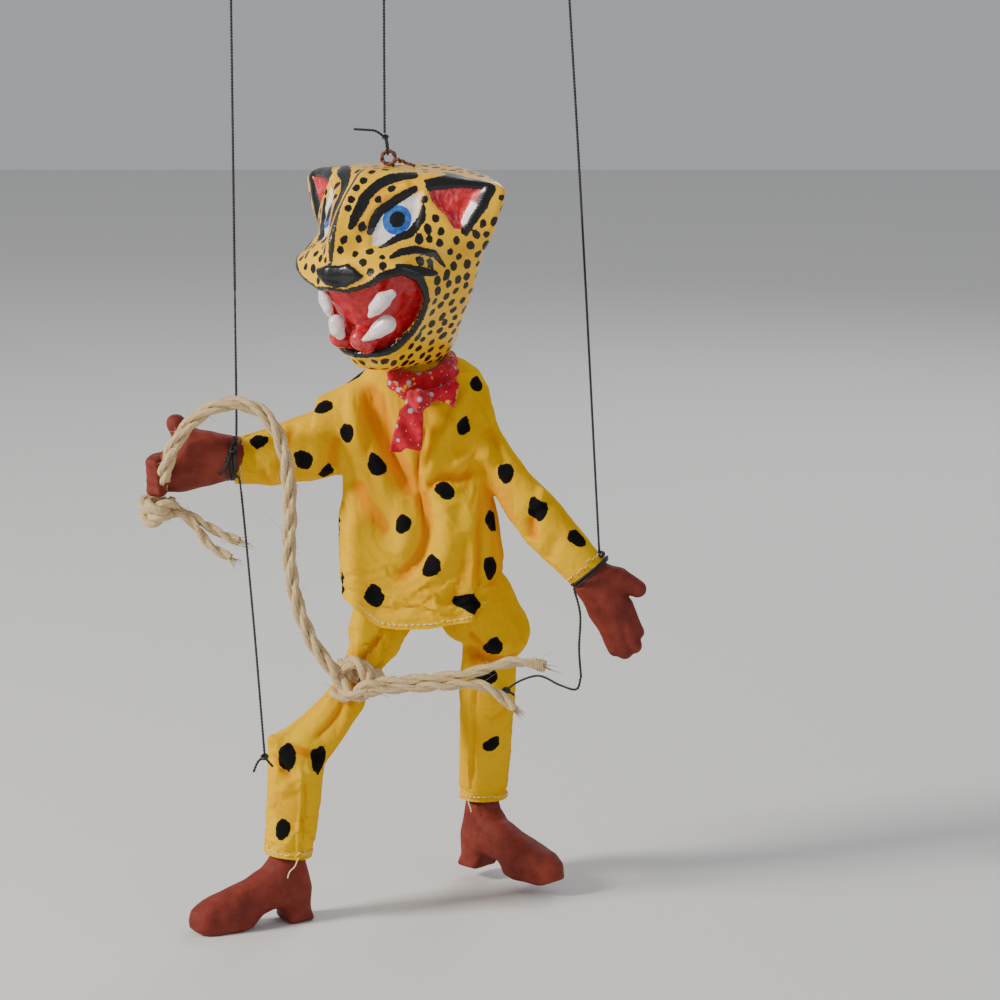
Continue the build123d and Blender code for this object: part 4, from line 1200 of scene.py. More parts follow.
def stitches(name, line, surface, pitch=2.9, length=1.9, radius=0.26):
    """A row of short stitches lying on a surface along a line."""
    line = catmull(line, 0.8)
    step = np.concatenate([[0], np.cumsum(np.linalg.norm(np.diff(line, axis=0), axis=1))])
    parts = []
    for start in np.arange(0, step[-1] - length, pitch):
        marks = np.linspace(start, start + length, 4)
        points = np.stack([np.interp(marks, step, line[:, k]) for k in range(3)], -1)
        placed = []
        for point, lift in zip(points, (-0.1, 0.28, 0.28, -0.1)):
            found, way, _, _ = surface.find_nearest(Vector(point))
            placed.append(np.array(found) + np.array(way) * lift)
        parts.append(tube(np.array(placed), radius, 5))
    verts, loops = join_meshes(parts)
    piece = make_object(name, verts, loops, THREAD)
    return piece


def bvh(verts, faces):
    return BVHTree.FromPolygons(verts.tolist(), faces.tolist())


def build_shirt():
    step = 1.0
    verts, faces = surface_mesh(shirt_field, (-84, -42, 132), (112, 34, 268), step)
    verts = relax(verts, faces, 3, 0.5)
    verts, faces = trim(verts, faces, shirt_cut)
    verts, rise = press_folds(verts, faces, SHIRT_FOLDS)
    normal = normals_of(verts, faces)
    crease, _ = polyline_nearest(verts * [1, 0.35, 1], SIDE_CREASE * [1, 0.35, 1])
    verts = verts - normal * (2.6 * np.exp(-(crease / 1.7) ** 2))[:, None]
    corner = (np.exp(-((verts[:, 0] - 37.5) / 5.0) ** 2) * ramp(-verts[:, 1], 8, 16)
              * ramp(-verts[:, 2], -212, -196))
    verts = verts - np.stack([-1.2 * corner, 3.4 * corner, 0 * corner], -1)
    flute = (np.sin((verts[:, 0] * 0.16 + verts[:, 1] * 0.22)) * ramp(-verts[:, 2], -205, -140)
             * ramp(verts[:, 1], -4, 6))
    back_fold = (np.sin(verts[:, 0] * 0.28 + 0.05 * verts[:, 2]) * ramp(verts[:, 1], 2, 8)
                 * ramp(-verts[:, 2], -250, -225))
    verts = (verts + normal * (1.7 * flute + 1.0 * back_fold + 0.7 * lumps(verts, 19.0)
                               + 0.35 * lumps(verts, 8.0))[:, None])
    verts = relax(verts, faces, 1, 0.3)
    right_arm = verts[:, 0] < -24
    left_arm = (flat_chain(verts, LEFT_SLEEVE, 1.2) < body_field(verts)) & (verts[:, 0] > 40)
    hold = np.full(len(verts), 0.12)
    hold[right_arm | left_arm] = 0.25
    hold[verts[:, 2] < hem_height(verts) + 4.5] = 0.6
    hold[np.unique(open_edges(faces))] = 0.9
    hold[verts[:, 2] > 252] = 1.0
    verts = drape("shirt", verts, faces, hold, 14, 0.03)
    normal = normals_of(verts, faces)
    spots = spot_distance(verts, normal, SHIRT_SPOTS, 34, random)
    # Painted shade for the cotton: fold valleys, the side crease and the side panel that lies in shade.
    valley = ramp(-rise, 0.4, 3.2) + np.exp(-(crease / 3.0) ** 2) * 0.7
    side_panel_shade = (ramp(verts[:, 0] + 0.35 * verts[:, 1], 38, 42) * ramp(-verts[:, 2], -212, -204)
                  * (verts[:, 0] < 58))
    valley = np.clip(valley + 0.5 * side_panel_shade, 0, 1)
    labels = np.zeros(len(verts), int)
    right_along = -verts[:, 0]
    labels[right_along > 9.0] = np.where(verts[right_along > 9.0][:, 2] > 203, 1, 0)
    labels[(right_along > 9.0) & (body_field(verts) < flat_chain(verts, RIGHT_STUB, 1.25))
           & (verts[:, 2] < 214)] = 0
    labels[(right_along > 33.0)] = 2
    left_along = (verts - [43, -3, 245.5]) @ unit([19.1, -9.0, -41.5])
    near_left = flat_chain(verts, LEFT_SLEEVE, 1.2) < 4.5
    on_arm = near_left & ((verts[:, 0] - 45.5) + (verts[:, 2] - 210) * 0.28 > 0) & (left_along > -8)
    on_arm &= flat_chain(verts, LEFT_SLEEVE, 1.2) < body_field(verts) + 6 * (verts[:, 2] > 222)
    labels[on_arm] = 3
    labels[near_left & (verts[:, 0] > 45) & (left_along > 24)
           & (flat_chain(verts, LEFT_SLEEVE, 1.2) < body_field(verts))] = 4
    names = ["shirt_front_and_back", "right_shoulder_sleeve", "right_lower_sleeve_cloth",
             "left_shoulder_sleeve", "left_lower_sleeve_cloth"]
    pieces = cloth_pieces(verts, faces, 0.8, labels, names, {"ink": spots, "valley": valley})
    surface = bvh(verts, faces)

    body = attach(pieces["shirt_front_and_back"], "torso")
    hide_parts("shirt_body")
    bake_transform(pieces["right_shoulder_sleeve"])
    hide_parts("right_upper_sleeve")
    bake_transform(pieces["right_lower_sleeve_cloth"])
    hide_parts("right_lower_sleeve")
    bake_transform(pieces["left_shoulder_sleeve"])
    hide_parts("left_upper_sleeve")
    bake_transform(pieces["left_lower_sleeve_cloth"])
    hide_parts("left_lower_sleeve")

    hem_x = np.linspace(-22, 40.5, 32)
    hem = np.stack([hem_x, np.full(32, -30.0), np.interp(hem_x, HEM_FRONT[:, 0], HEM_FRONT[:, 1]) + 2.4],
                   -1)
    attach(stitches("hem_stitches_front", hem, surface), "torso")
    side = [(45, -22, 151.6), (49, -14, 151.8), (52.5, -4, 151.6)]
    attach(stitches("hem_stitches_side", side, surface), "torso")
    back_x = np.linspace(48, -20, 30)
    back = np.stack([back_x, np.full(30, 30.0), np.full(30, HEM_BACK_Z + 2.4)], -1)
    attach(stitches("hem_stitches_back", back, surface), "torso")
    ring = [(RIGHT_CUFF_X + 3.0, -19.5 + 14 * math.sin(a), 219.3 + 14 * math.cos(a))
            for a in np.linspace(0, 2 * math.pi, 16)]
    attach(stitches("right_cuff_stitches", ring, surface, 2.4, 1.5, 0.22), "right_forearm")
    side_way = unit(np.cross(LEFT_CUFF_WAY, [0, 1, 0]))
    up_way = np.cross(side_way, LEFT_CUFF_WAY)
    centre = LEFT_CUFF - LEFT_CUFF_WAY * 3.2
    ring = [centre + 13 * (math.cos(a) * side_way + math.sin(a) * up_way)
            for a in np.linspace(0, 2 * math.pi, 16)]
    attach(stitches("left_cuff_stitches", ring, surface, 2.4, 1.5, 0.22), "left_forearm")


def build_trousers():
    step = 1.0
    verts, faces = surface_mesh(trouser_field, (-66, -54, 27), (74, 56, 182), step)
    verts = relax(verts, faces, 3, 0.5)
    verts, faces = trim(verts, faces, trouser_cut)
    verts, rise = press_folds(verts, faces, TROUSER_FOLDS)
    normal = normals_of(verts, faces)
    q = verts - CINCH
    along = q @ CINCH_WAY
    across = q - along[:, None] * CINCH_WAY
    near_leg = (np.linalg.norm(across, axis=1) < 17) & (verts[:, 0] < 8)
    first = unit(np.cross(CINCH_WAY, [0, 1, 0]))
    second = np.cross(CINCH_WAY, first)
    turn = np.arctan2(across @ second, across @ first)
    gather = np.exp(-((np.abs(along) - 5) / 8.0) ** 2) * near_leg
    pleats = (np.cos(9 * turn + 0.12 * along) + 0.6 * np.cos(5 * turn + 1.3)) * gather
    verts = verts + normal * (0.95 * pleats + 0.55 * lumps(verts, 15.0) + 0.3 * lumps(verts, 7.0))[:, None]
    verts = relax(verts, faces, 1, 0.3)
    hold = np.full(len(verts), 0.15)
    hold[np.unique(open_edges(faces))] = 0.9
    hold[near_leg & (np.abs(along) < 8)] = 0.8
    hold[verts[:, 2] > 165] = 1.0
    verts = drape("trousers", verts, faces, hold, 14, 0.03)
    normal = normals_of(verts, faces)
    spots = spot_distance(verts, normal, TROUSER_SPOTS, 30, random)
    # Painted shade for the cotton: fold valleys and the hollows between the pleats.
    valley = np.clip(ramp(-rise, 0.3, 2.4) + 0.5 * ramp(-pleats, 0.2, 1.2), 0, 1)
    right = verts[:, 0] + 0.25 * verts[:, 1] < 13.5
    labels = np.zeros(len(verts), int)
    labels[right & (verts[:, 2] < 168)] = 1
    thigh_way = unit([-43.5, -34, -72])
    down_thigh = (verts - [-1, -2, 160]) @ thigh_way
    labels[right & (down_thigh > 62)] = 2
    labels[~right & (verts[:, 2] < 168)] = 3
    labels[~right & (verts[:, 2] < 119)] = 4
    names = ["trouser_waist", "right_thigh_leg", "right_shin_leg", "left_thigh_leg", "left_shin_leg"]
    pieces = cloth_pieces(verts, faces, 0.8, labels, names, {"ink": spots, "valley": valley})
    surface = bvh(verts, faces)
    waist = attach(pieces["trouser_waist"], "torso")
    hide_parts("trouser_seat")
    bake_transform(pieces["right_thigh_leg"])
    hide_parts("right_thigh_cloth")
    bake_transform(pieces["right_shin_leg"])
    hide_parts("right_shin_cloth")
    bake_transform(pieces["left_thigh_leg"])
    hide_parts("left_thigh_cloth")
    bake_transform(pieces["left_shin_leg"])
    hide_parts("left_shin_cloth")
    for name, centre, z, radius, body in (("right_hem_stitches", (-49.5, -38), RIGHT_CUFF_Z + 3.0, 15,
                                           "right_shin"),
                                          ("left_hem_stitches", (43.2, 35.5), LEFT_CUFF_Z + 2.6, 16,
                                           "left_shin")):
        ring = [(centre[0] + radius * math.cos(a), centre[1] + radius * math.sin(a),
                 z - (0.12 * radius * math.cos(a) if body == "right_shin" else 0))
                 for a in np.linspace(0, 2 * math.pi, 18)]
        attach(stitches(name, ring, surface, 2.6, 1.8, 0.27), body)
    for name, path, body in (
            ("right_loose_thread", [(-43.5, -50, 34.5), (-45, -52.5, 31), (-47.5, -53.5, 28.5),
                                    (-48.5, -53.6, 25.5)], "right_shin"),
            ("left_loose_thread", [(37, 24.5, 45), (36.2, 23.6, 42), (37, 22.4, 39.5), (37.6, 22.6, 37)],
             "left_shin")):
        v, f = join_meshes([tube(catmull(path, 0.6), 0.3, 5)])
        piece = make_object(name, v, f, THREAD)
        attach(piece, body)


# ---------------------------------------------------------------- neckerchief
WRAP_CENTRE = np.array([14.3, -4.0, 261.5])
WRAP_WAY = unit([-0.10, -0.42, 0.9])


def wrap_field(p):
    q = p - WRAP_CENTRE
    along = q @ WRAP_WAY
    flat = q - along[..., None] * WRAP_WAY
    ring = np.linalg.norm(flat, axis=-1)
    turn = np.arctan2(flat[..., 0], flat[..., 1])
    front = np.clip(-flat[..., 1] / 15, -1, 1)
    height = 4.6 + 1.6 * front
    rolls = 0.8 * np.sin(along * 1.5 + 1.3 * np.sin(turn * 2)) + 0.4 * np.sin(along * 3.1 + turn * 3)
    return (np.hypot((ring - 14.4 + 0.32 * along) / 4.0, along / height) - 1) * 3.8 + rolls * 0.55


def tail_field(p, outline, y_front, curl):
    """A flat tail of cloth in the plane of the chest: an outline in x and z with a soft thickness."""
    x, z = p[..., 0], p[..., 2]
    flat = outline_distance(x, z, outline)
    wave = y_front + curl * np.sin((x + 0.7 * z) * 0.55) + 0.05 * (z - 236)
    return smooth_max(flat, np.abs(p[..., 1] - wave) - 1.5, 1.2)


LONG_TAIL = [(9, 249), (4.6, 244), (2.5, 236), (0.2, 228), (-0.5, 225), (5, 224.4), (7.5, 226.6),
             (14.6, 225), (15.8, 234), (15.6, 243), (18, 247)]
SHORT_TAIL = [(15, 246), (22, 248.6), (30.4, 245.8), (31.4, 251), (32.6, 257), (29, 257.8), (24, 255.2),
              (15, 253)]


def build_neckerchief():
    solid("neckerchief_round_the_neck", wrap_field, (-12, -32, 238), (42, 26, 282), 0.7, KERCHIEF, "torso",
          ["neckerchief_wrap"], 1, lumpy=0.5)

    def knot_field(p):
        knot = (ellipsoid(p, (13.5, -25.5, 249.5), (6.2, 4.6, 5.2))
                + 0.5 * np.sin(p[..., 0] * 1.1 + p[..., 2] * 0.7))
        band = ellipsoid(p, (13.8, -27.2, 249.2), (2.9, 4.2, 5.8))
        d = smooth_min(knot, band, 0.6)
        d = smooth_min(d, tail_field(p, LONG_TAIL, -25.6, 0.9), 1.0)
        return smooth_min(d, tail_field(p, SHORT_TAIL, -23.6, 0.7), 1.0)

    solid("neckerchief_knot_and_tails", knot_field, (-5, -34, 219), (38, -14, 262), 0.6, KERCHIEF, "torso",
          ["neckerchief_knot"], 1, lumpy=0.35)


# ---------------------------------------------------------------- clay hands and boots
RIGHT_ANKLE = np.array([-49.6, -37.0, 39.0])
LEFT_ANKLE = np.array([43.0, 34.0, 48.0])
RIGHT_BOOT_WAY = unit([-0.88, -0.475, 0.0])
LEFT_BOOT_WAY = unit([0.745, -0.667, 0.0])


def right_hand_field(p):
    wrist = flat_chain(p, [(-64, -18, 220.0, 6.6), (-74, -20.6, 220.6, 8.2), (-82, -22, 221.5, 9.2)], 1.2)
    top = flat_chain(p, [(-78, -22, 222.5, 9.4), (-93, -23, 226, 8.6)], 1.1)
    low = flat_chain(p, [(-78, -22, 220.5, 9.4), (-100, -23.5, 213, 8.0)], 1.1)
    middle = flat_chain(p, [(-88, -22, 221, 11.5), (-98, -23, 219, 10.5)], 1.35)
    thumb = chain(p, [(-94, -21, 229, 5.6), (-98.5, -20.5, 234, 5.0), (-100.4, -20.5, 237.0, 4.9)])
    palm = smooth_min(smooth_min(wrist, smooth_min(top, low, 4), 4), middle, 4)
    hand = smooth_min(palm, thumb, 3.0)
    fingers = None
    for i in range(4):
        lift = i * 4.6
        finger = chain(p, [(-101, -17, 221 - lift, 3.2), (-110.5, -21.5, 220.5 - lift * 0.93, 3.1),
                           (-111.5, -28.5, 220 - lift * 0.93, 3.1), (-106, -31.5, 219 - lift * 0.9, 2.6)])
        fingers = finger if fingers is None else smooth_min(fingers, finger, 1.5)
    hand = smooth_min(hand, fingers, 1.6)
    groove = cone(p, (-106.3, -33, 227, 2.6), (-104.8, -33, 206, 2.3))
    return smooth_max(hand, -groove, 1.2)


def left_hand_field(p):
    wrist = flat_chain(p, [(90.0, -20.0, 169.5, 5.4), (95, -20.5, 162.5, 7.8)], 1.1)
    palm = flat_chain(p, [(95, -20.5, 161.5, 8.6), (103, -21, 149, 9.4)], 1.3)
    thumb_root = flat_chain(p, [(98, -20.5, 164.5, 6.4), (108, -21, 163, 5.4)], 1.1)
    thumb = flat_chain(p, [(108, -21, 163, 5.4), (117, -21.5, 158.3, 4.2)], 1.1)
    hand = smooth_min(smooth_min(wrist, palm, 4.0), smooth_min(thumb_root, thumb, 1.0), 3.5)
    fingers = None
    for start, end, r in (((99, -21.5, 147), (106.5, -21, 129.2), 3.9),
                          ((104, -22, 148), (111, -21.5, 128), 4.0),
                          ((108.5, -21.5, 149), (115.3, -21, 130.5), 3.9),
                          ((111, -20, 149.5), (117, -19.5, 137), 3.4)):
        finger = cone(p, (*start, r + 0.5), (*end, r))
        fingers = finger if fingers is None else smooth_min(fingers, finger, 1.1)
    return smooth_min(hand, fingers, 3.0)


# side view of a boot as forward and up from the ankle's place on the sole
BOOT_SIDE = [(-11.5, 0.4), (-10, 0), (1.5, 0), (3, 1.5), (5, 6.4), (8.5, 7.2), (14, 5.4), (21, 1.2),
             (27, 0), (44, 0), (49.5, 2), (51.6, 6.5), (50, 11.5), (44, 15.2), (34, 18.4), (22, 22.6),
             (12, 27), (8.4, 31), (7.0, 37), (-7.2, 37), (-9.4, 27), (-12.4, 16), (-11.6, 7)]


def boot_field(p, ankle, way, sole):
    q = p - np.array([ankle[0], ankle[1], sole])
    forward = q[..., 0] * way[0] + q[..., 1] * way[1]
    side = q[..., 0] * way[1] - q[..., 1] * way[0]
    up = q[..., 2]
    profile = outline_distance(forward, up, BOOT_SIDE)
    width = np.interp(forward, (-12, -4, 6, 18, 30, 42, 52), (7.2, 8.6, 8.8, 8.6, 9.8, 9.2, 6.0))
    width = width - 0.9 * ramp(up, 8, 20) * ramp(forward, 10, 26)
    walls = np.abs(side) - width
    body = smooth_max(profile, walls, 9.0)
    low = smooth_max(profile, walls, 3.0)
    blend_to_sole = ramp(-up, -7, -1)
    return body * (1 - blend_to_sole) + low * blend_to_sole


def creases(verts, faces):
    """How hollow the surface is at each vertex, 0 to 1."""
    smooth = relax(verts, faces, 8, 0.5)
    return ramp(((smooth - verts) * normals_of(verts, faces)).sum(1), 0.05, 0.6)


def build_clay():
    # How hollow each place is, for the painted shade in the clay's creases.
    hollow = {"valley": creases}
    solid("right_fist", right_hand_field, (-121, -38, 198), (-56, -6, 247), 0.8, CLAY, "right_forearm",
          ["right_hand"], 2, hollow, 0.3)
    solid("left_mitten_hand", left_hand_field, (74, -34, 120), (127, -8, 186), 0.8, CLAY, "left_hand",
          ["left_hand"], 2, hollow, 0.3)
    for name, ankle, way, sole, body, node_name in (
            ("right_clay_boot", RIGHT_ANKLE, RIGHT_BOOT_WAY, 0.0, "right_foot", "right_boot"),
            ("left_clay_boot", LEFT_ANKLE, LEFT_BOOT_WAY, 6.0, "left_foot", "left_boot")):
        ends = np.array([ankle - way * 14, ankle + way * 54])
        low, high = ends.min(0) - 13, ends.max(0) + 13
        low[2], high[2] = sole - 2, sole + 40
        solid(name, lambda grid, a=ankle, w=way, s=sole: boot_field(grid, a, w, s), low, high, 0.85, CLAY,
              body, [node_name], 2, hollow, 0.25)


# ---------------------------------------------------------------- cords
KNOT_Z = 522.4
CORD_STRAND = 0.40
CORD_OFFSET = 0.28
CORD_PITCH = 3.0


def cord_parts(path, spacing=0.6):
    return twisted(path, CORD_STRAND, CORD_OFFSET, CORD_PITCH, 2, 6, spacing)


def ball_knot(centre, radius, turns=2.4):
    """A small stop knot: a cord wound into a lump."""
    t = np.linspace(0, 1, 60)
    angle = t * turns * 2 * math.pi
    tilt = np.sin(t * math.pi * 5) * 0.6
    path = (np.array(centre) + radius
            * np.stack([np.cos(angle) * np.cos(tilt), np.sin(angle) * np.cos(tilt), np.sin(tilt)], -1))
    return tube(path, radius * 0.55, 8)


def cord_object(name, parts):
    verts, loops = join_meshes(parts)
    obj = make_object(name, verts, loops, CORD)
    return obj


def build_cords():
    head = cord_object("head_cord",
                       cord_parts([(-1.8, STRING_Y, KNOT_Z), (-1.8, STRING_Y, 373.5)])
                       + [ball_knot((-1.8, STRING_Y, KNOT_Z), 1.6)])
    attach(head, "torso")
    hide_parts("head_string")

    loop = [(-1.4, STRING_Y + 0.3, 371.5), (-1.0, STRING_Y - 3.4, 369.5), (-0.6, STRING_Y - 3.6, 366.4),
            (-0.4, STRING_Y, 363.8), (-0.4, STRING_Y + 3.4, 366.4), (-0.8, STRING_Y + 3.2, 369.6),
            (-1.4, STRING_Y - 0.3, 371.8)]
    tail = [(-1.6, STRING_Y, 371.6), (-6, STRING_Y - 0.6, 374.6), (-11, STRING_Y - 1, 375.2),
            (-16, STRING_Y - 1, 375.5)]
    tie = cord_object("head_cord_knot",
                      cord_parts(loop, 0.4) + cord_parts(tail, 0.4)
                      + [ball_knot((-1.5, STRING_Y, 371.8), 1.1)])
    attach(tie, "head")
    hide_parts("head_string_knot")

    right = cord_object("right_hand_cord",
                        cord_parts([(-72.2, STRING_Y, KNOT_Z), (-72.2, STRING_Y, 300),
                                    (-72.2, STRING_Y - 1, 236), (-73.0, STRING_Y - 4, 230.5)])
                                    + [ball_knot((-72.2, STRING_Y, KNOT_Z), 1.6)])
    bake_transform(right)
    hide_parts("right_hand_string")

    left_top, left_low = np.array([78.1, STRING_Y, KNOT_Z]), np.array([98.6, STRING_Y - 1.5, 176.5])
    left = cord_object("left_hand_cord",
                       cord_parts([left_top, left_top + (left_low - left_top) * 0.5 + [0.6, 0, 0],
                                   left_low]) + [ball_knot(left_top, 1.6)])
    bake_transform(left)
    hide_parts("left_hand_string")

    coil = []
    for i in range(5):
        angle = np.linspace(-0.3, 2 * math.pi - 0.3, 26)
        x = -76.2 + i * 0.95 + 0.7 * np.cos(angle + i)
        radius_z, radius_y = 10.3 - 0.06 * i, 9.7 - 0.05 * i
        coil += cord_parts(np.stack([x, -21.3 + radius_y * np.cos(angle), 221.0 + radius_z * np.sin(angle)],
                                    -1), 0.7)
    coil += cord_parts([(-73.5, -30.2, 230), (-74.5, -31.2, 225), (-76.5, -31.3, 219),
                        (-79.5, -30.4, 214.5)], 0.6)
    coil += [ball_knot((-73.6, -30.4, 226.5), 1.3)]
    wrist = cord_object("right_wrist_cord", coil)
    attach(wrist, "right_forearm")
    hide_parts("right_wrist_tie")

    side_way = unit(np.cross(LEFT_CUFF_WAY, [0, 1, 0]))
    up_way = np.cross(side_way, LEFT_CUFF_WAY)
    coil = []
    for i in range(3):
        angle = np.linspace(0, 2 * math.pi, 30)
        centre = LEFT_CUFF + LEFT_CUFF_WAY * (0.2 + 0.9 * i) + [0, 0.3, 0]
        wobble = 0.5 * np.cos(angle + 2 * i)
        ring = (centre + (10.8 - 0.45 * i)
                * (np.cos(angle)[:, None] * side_way + np.sin(angle)[:, None] * up_way)
                + wobble[:, None] * LEFT_CUFF_WAY)
        coil += cord_parts(ring, 0.7)
    coil += [ball_knot((99.4, -22.0, 175.0), 1.4)]
    wrist = cord_object("left_wrist_cord", coil)
    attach(wrist, "left_forearm")
    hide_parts("left_wrist_tie")

    tie_right = np.array([-58.8, -51.5, 83.9])
    knee = cord_object("right_knee_cord",
                       cord_parts([(-71.5, -29.5, 214.0), (-70.0, -25.5, 205.0), (-64.0, -38.5, 145.0),
                                   tie_right + [0, 0, 1.5]]))
    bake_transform(knee)
    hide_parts("right_knee_string")
    tie = cord_object("right_knee_knot",
                      [ball_knot(tie_right, 1.3)]
                      + cord_parts([tie_right, tie_right + [-3, -1.5, -2], tie_right + [-5.2, -1.6, -7]], 0.4)
                      + cord_parts([tie_right, tie_right + [2, 1.0, -3], tie_right + [3.6, 2.6, -5.4]], 0.4))
    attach(tie, "right_shin")
    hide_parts("right_knee_tie")

    slack = np.array([(86.5, -31.0, 160.5), (89.5, -33.0, 148.0), (89.0, -34.0, 132.0),
                      (90.0, -32.5, 118.0), (87.8, -31.0, 111.6), (80.0, -28.0, 113.0),
                      (70.7, -22.0, 116.0), (62.0, -18.0, 113.0), (55.0, -15.4, 108.0)])
    upper = cord_object("left_knee_cord_upper", cord_parts(slack[:4]))
    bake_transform(upper)
    lower = cord_object("left_knee_cord_lower", cord_parts(slack[3:]))
    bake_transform(lower)
    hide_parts("left_knee_string")
    tie_left = np.array([54.6, -14.6, 107.2])
    tie = cord_object("left_knee_knot",
                      [ball_knot(tie_left, 1.4)]
                      + cord_parts([tie_left, tie_left + [-2.5, -0.5, -1.5], tie_left + [-4, 0.2, -3.4]], 0.4)
                      + cord_parts([tie_left, tie_left + [2.2, -0.6, -1.0], tie_left + [4.0, 0.4, -2.5]], 0.4))
    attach(tie, "left_thigh")
    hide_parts("left_knee_tie")


def build_eyelet():
    centre = np.array([0.0, STRING_Y, 362.2])
    angle = np.linspace(-1.9, 2 * math.pi - 1.9, 40)
    ring = centre + 3.1 * np.stack([np.cos(angle), 0.06 * np.sin(2 * angle), np.sin(angle)], -1)
    parts = twisted(ring, 0.62, 0.42, 6.0, 2, 7, 0.5)
    parts += twisted([(-0.6, STRING_Y + 0.4, 359.6), (2.0, STRING_Y + 0.8, 358.6),
                      (0.6, STRING_Y + 0.4, 355.0)], 0.62, 0.4, 4.0, 2, 7, 0.4)
    coil = [(2.4, STRING_Y, 361.0), (4.6, STRING_Y - 1.2, 361.6), (5.2, STRING_Y + 1.4, 360.2),
            (6.6, STRING_Y - 1.0, 361.0), (7.6, STRING_Y + 0.8, 359.6), (9.4, STRING_Y - 0.4, 359.4),
            (12.2, STRING_Y - 0.2, 358.4)]
    parts += twisted(coil, 0.5, 0.3, 4.0, 2, 7, 0.4)
    verts, loops = join_meshes(parts)
    piece = make_object("twisted_wire_eyelet", verts, loops, RUST)
    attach(piece, "head")
    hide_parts("eyelet")


# ---------------------------------------------------------------- sisal rope
STRAND_R = 1.95
STRAND_OFFSET = 1.75
ROPE_PITCH = 26.0


# spacing of the line that the fibres start from, and how many start on each mm of it
LINE_STEP = 0.8
FIBRES_PER_MM = 0.55


def rope_parts(path, pitch=ROPE_PITCH, strand=STRAND_R, offset=STRAND_OFFSET, phase=0.0, strands=2, fray=0):
    """Loosely laid strands with plies, and fibres that have worked loose."""
    parts = twisted(path, strand, offset, pitch, strands, 20, 0.8, phase, ridges=5, ridge_height=0.22,
                    ridge_turn=0.75)
    line = catmull(path, LINE_STEP)
    _, side, up = curve_frame(line)
    for _ in range(int(len(line) * LINE_STEP * FIBRES_PER_MM)):
        i = random.integers(0, len(line))
        a = random.uniform(0, 2 * math.pi)
        out = math.cos(a) * side[i] + math.sin(a) * up[i]
        tangent = line[min(i + 2, len(line) - 1)] - line[max(i - 2, 0)]
        tangent = tangent / max(np.linalg.norm(tangent), 1e-9) * random.choice([-1, 1])
        reach = random.uniform(2.0, 5.5) if random.random() < 0.93 else random.uniform(7, 15)
        start = line[i] + out * (strand + offset * 0.55)
        bend = out * random.uniform(0.1, 0.5) + tangent
        path3 = [start - tangent * 1.5, start + bend * reach * 0.5,
                 start + (bend + 0.4 * random.normal(0, 1, 3)) * reach]
        parts.append(tube(np.array(path3), [0.13, 0.11, 0.05], 3))
    if fray:
        tip = line[-1]
        way = unit(line[-1] - line[-4])
        for _ in range(fray):
            spread = random.normal(0, 0.28, 3)
            root = tip - way * 2 + random.normal(0, 0.9, 3)
            end = tip + (way + spread) * random.uniform(2.5, 6.5)
            parts.append(tube(np.array([root, (root + end) / 2 + random.normal(0, 0.25, 3), end]),
                              [0.2, 0.16, 0.06], 4))
    return parts


def rope_object(name, parts, nodes=()):
    verts, loops = join_meshes(parts)
    obj = make_object(name, verts, loops, SISAL)
    if nodes:
        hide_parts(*nodes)
    return obj


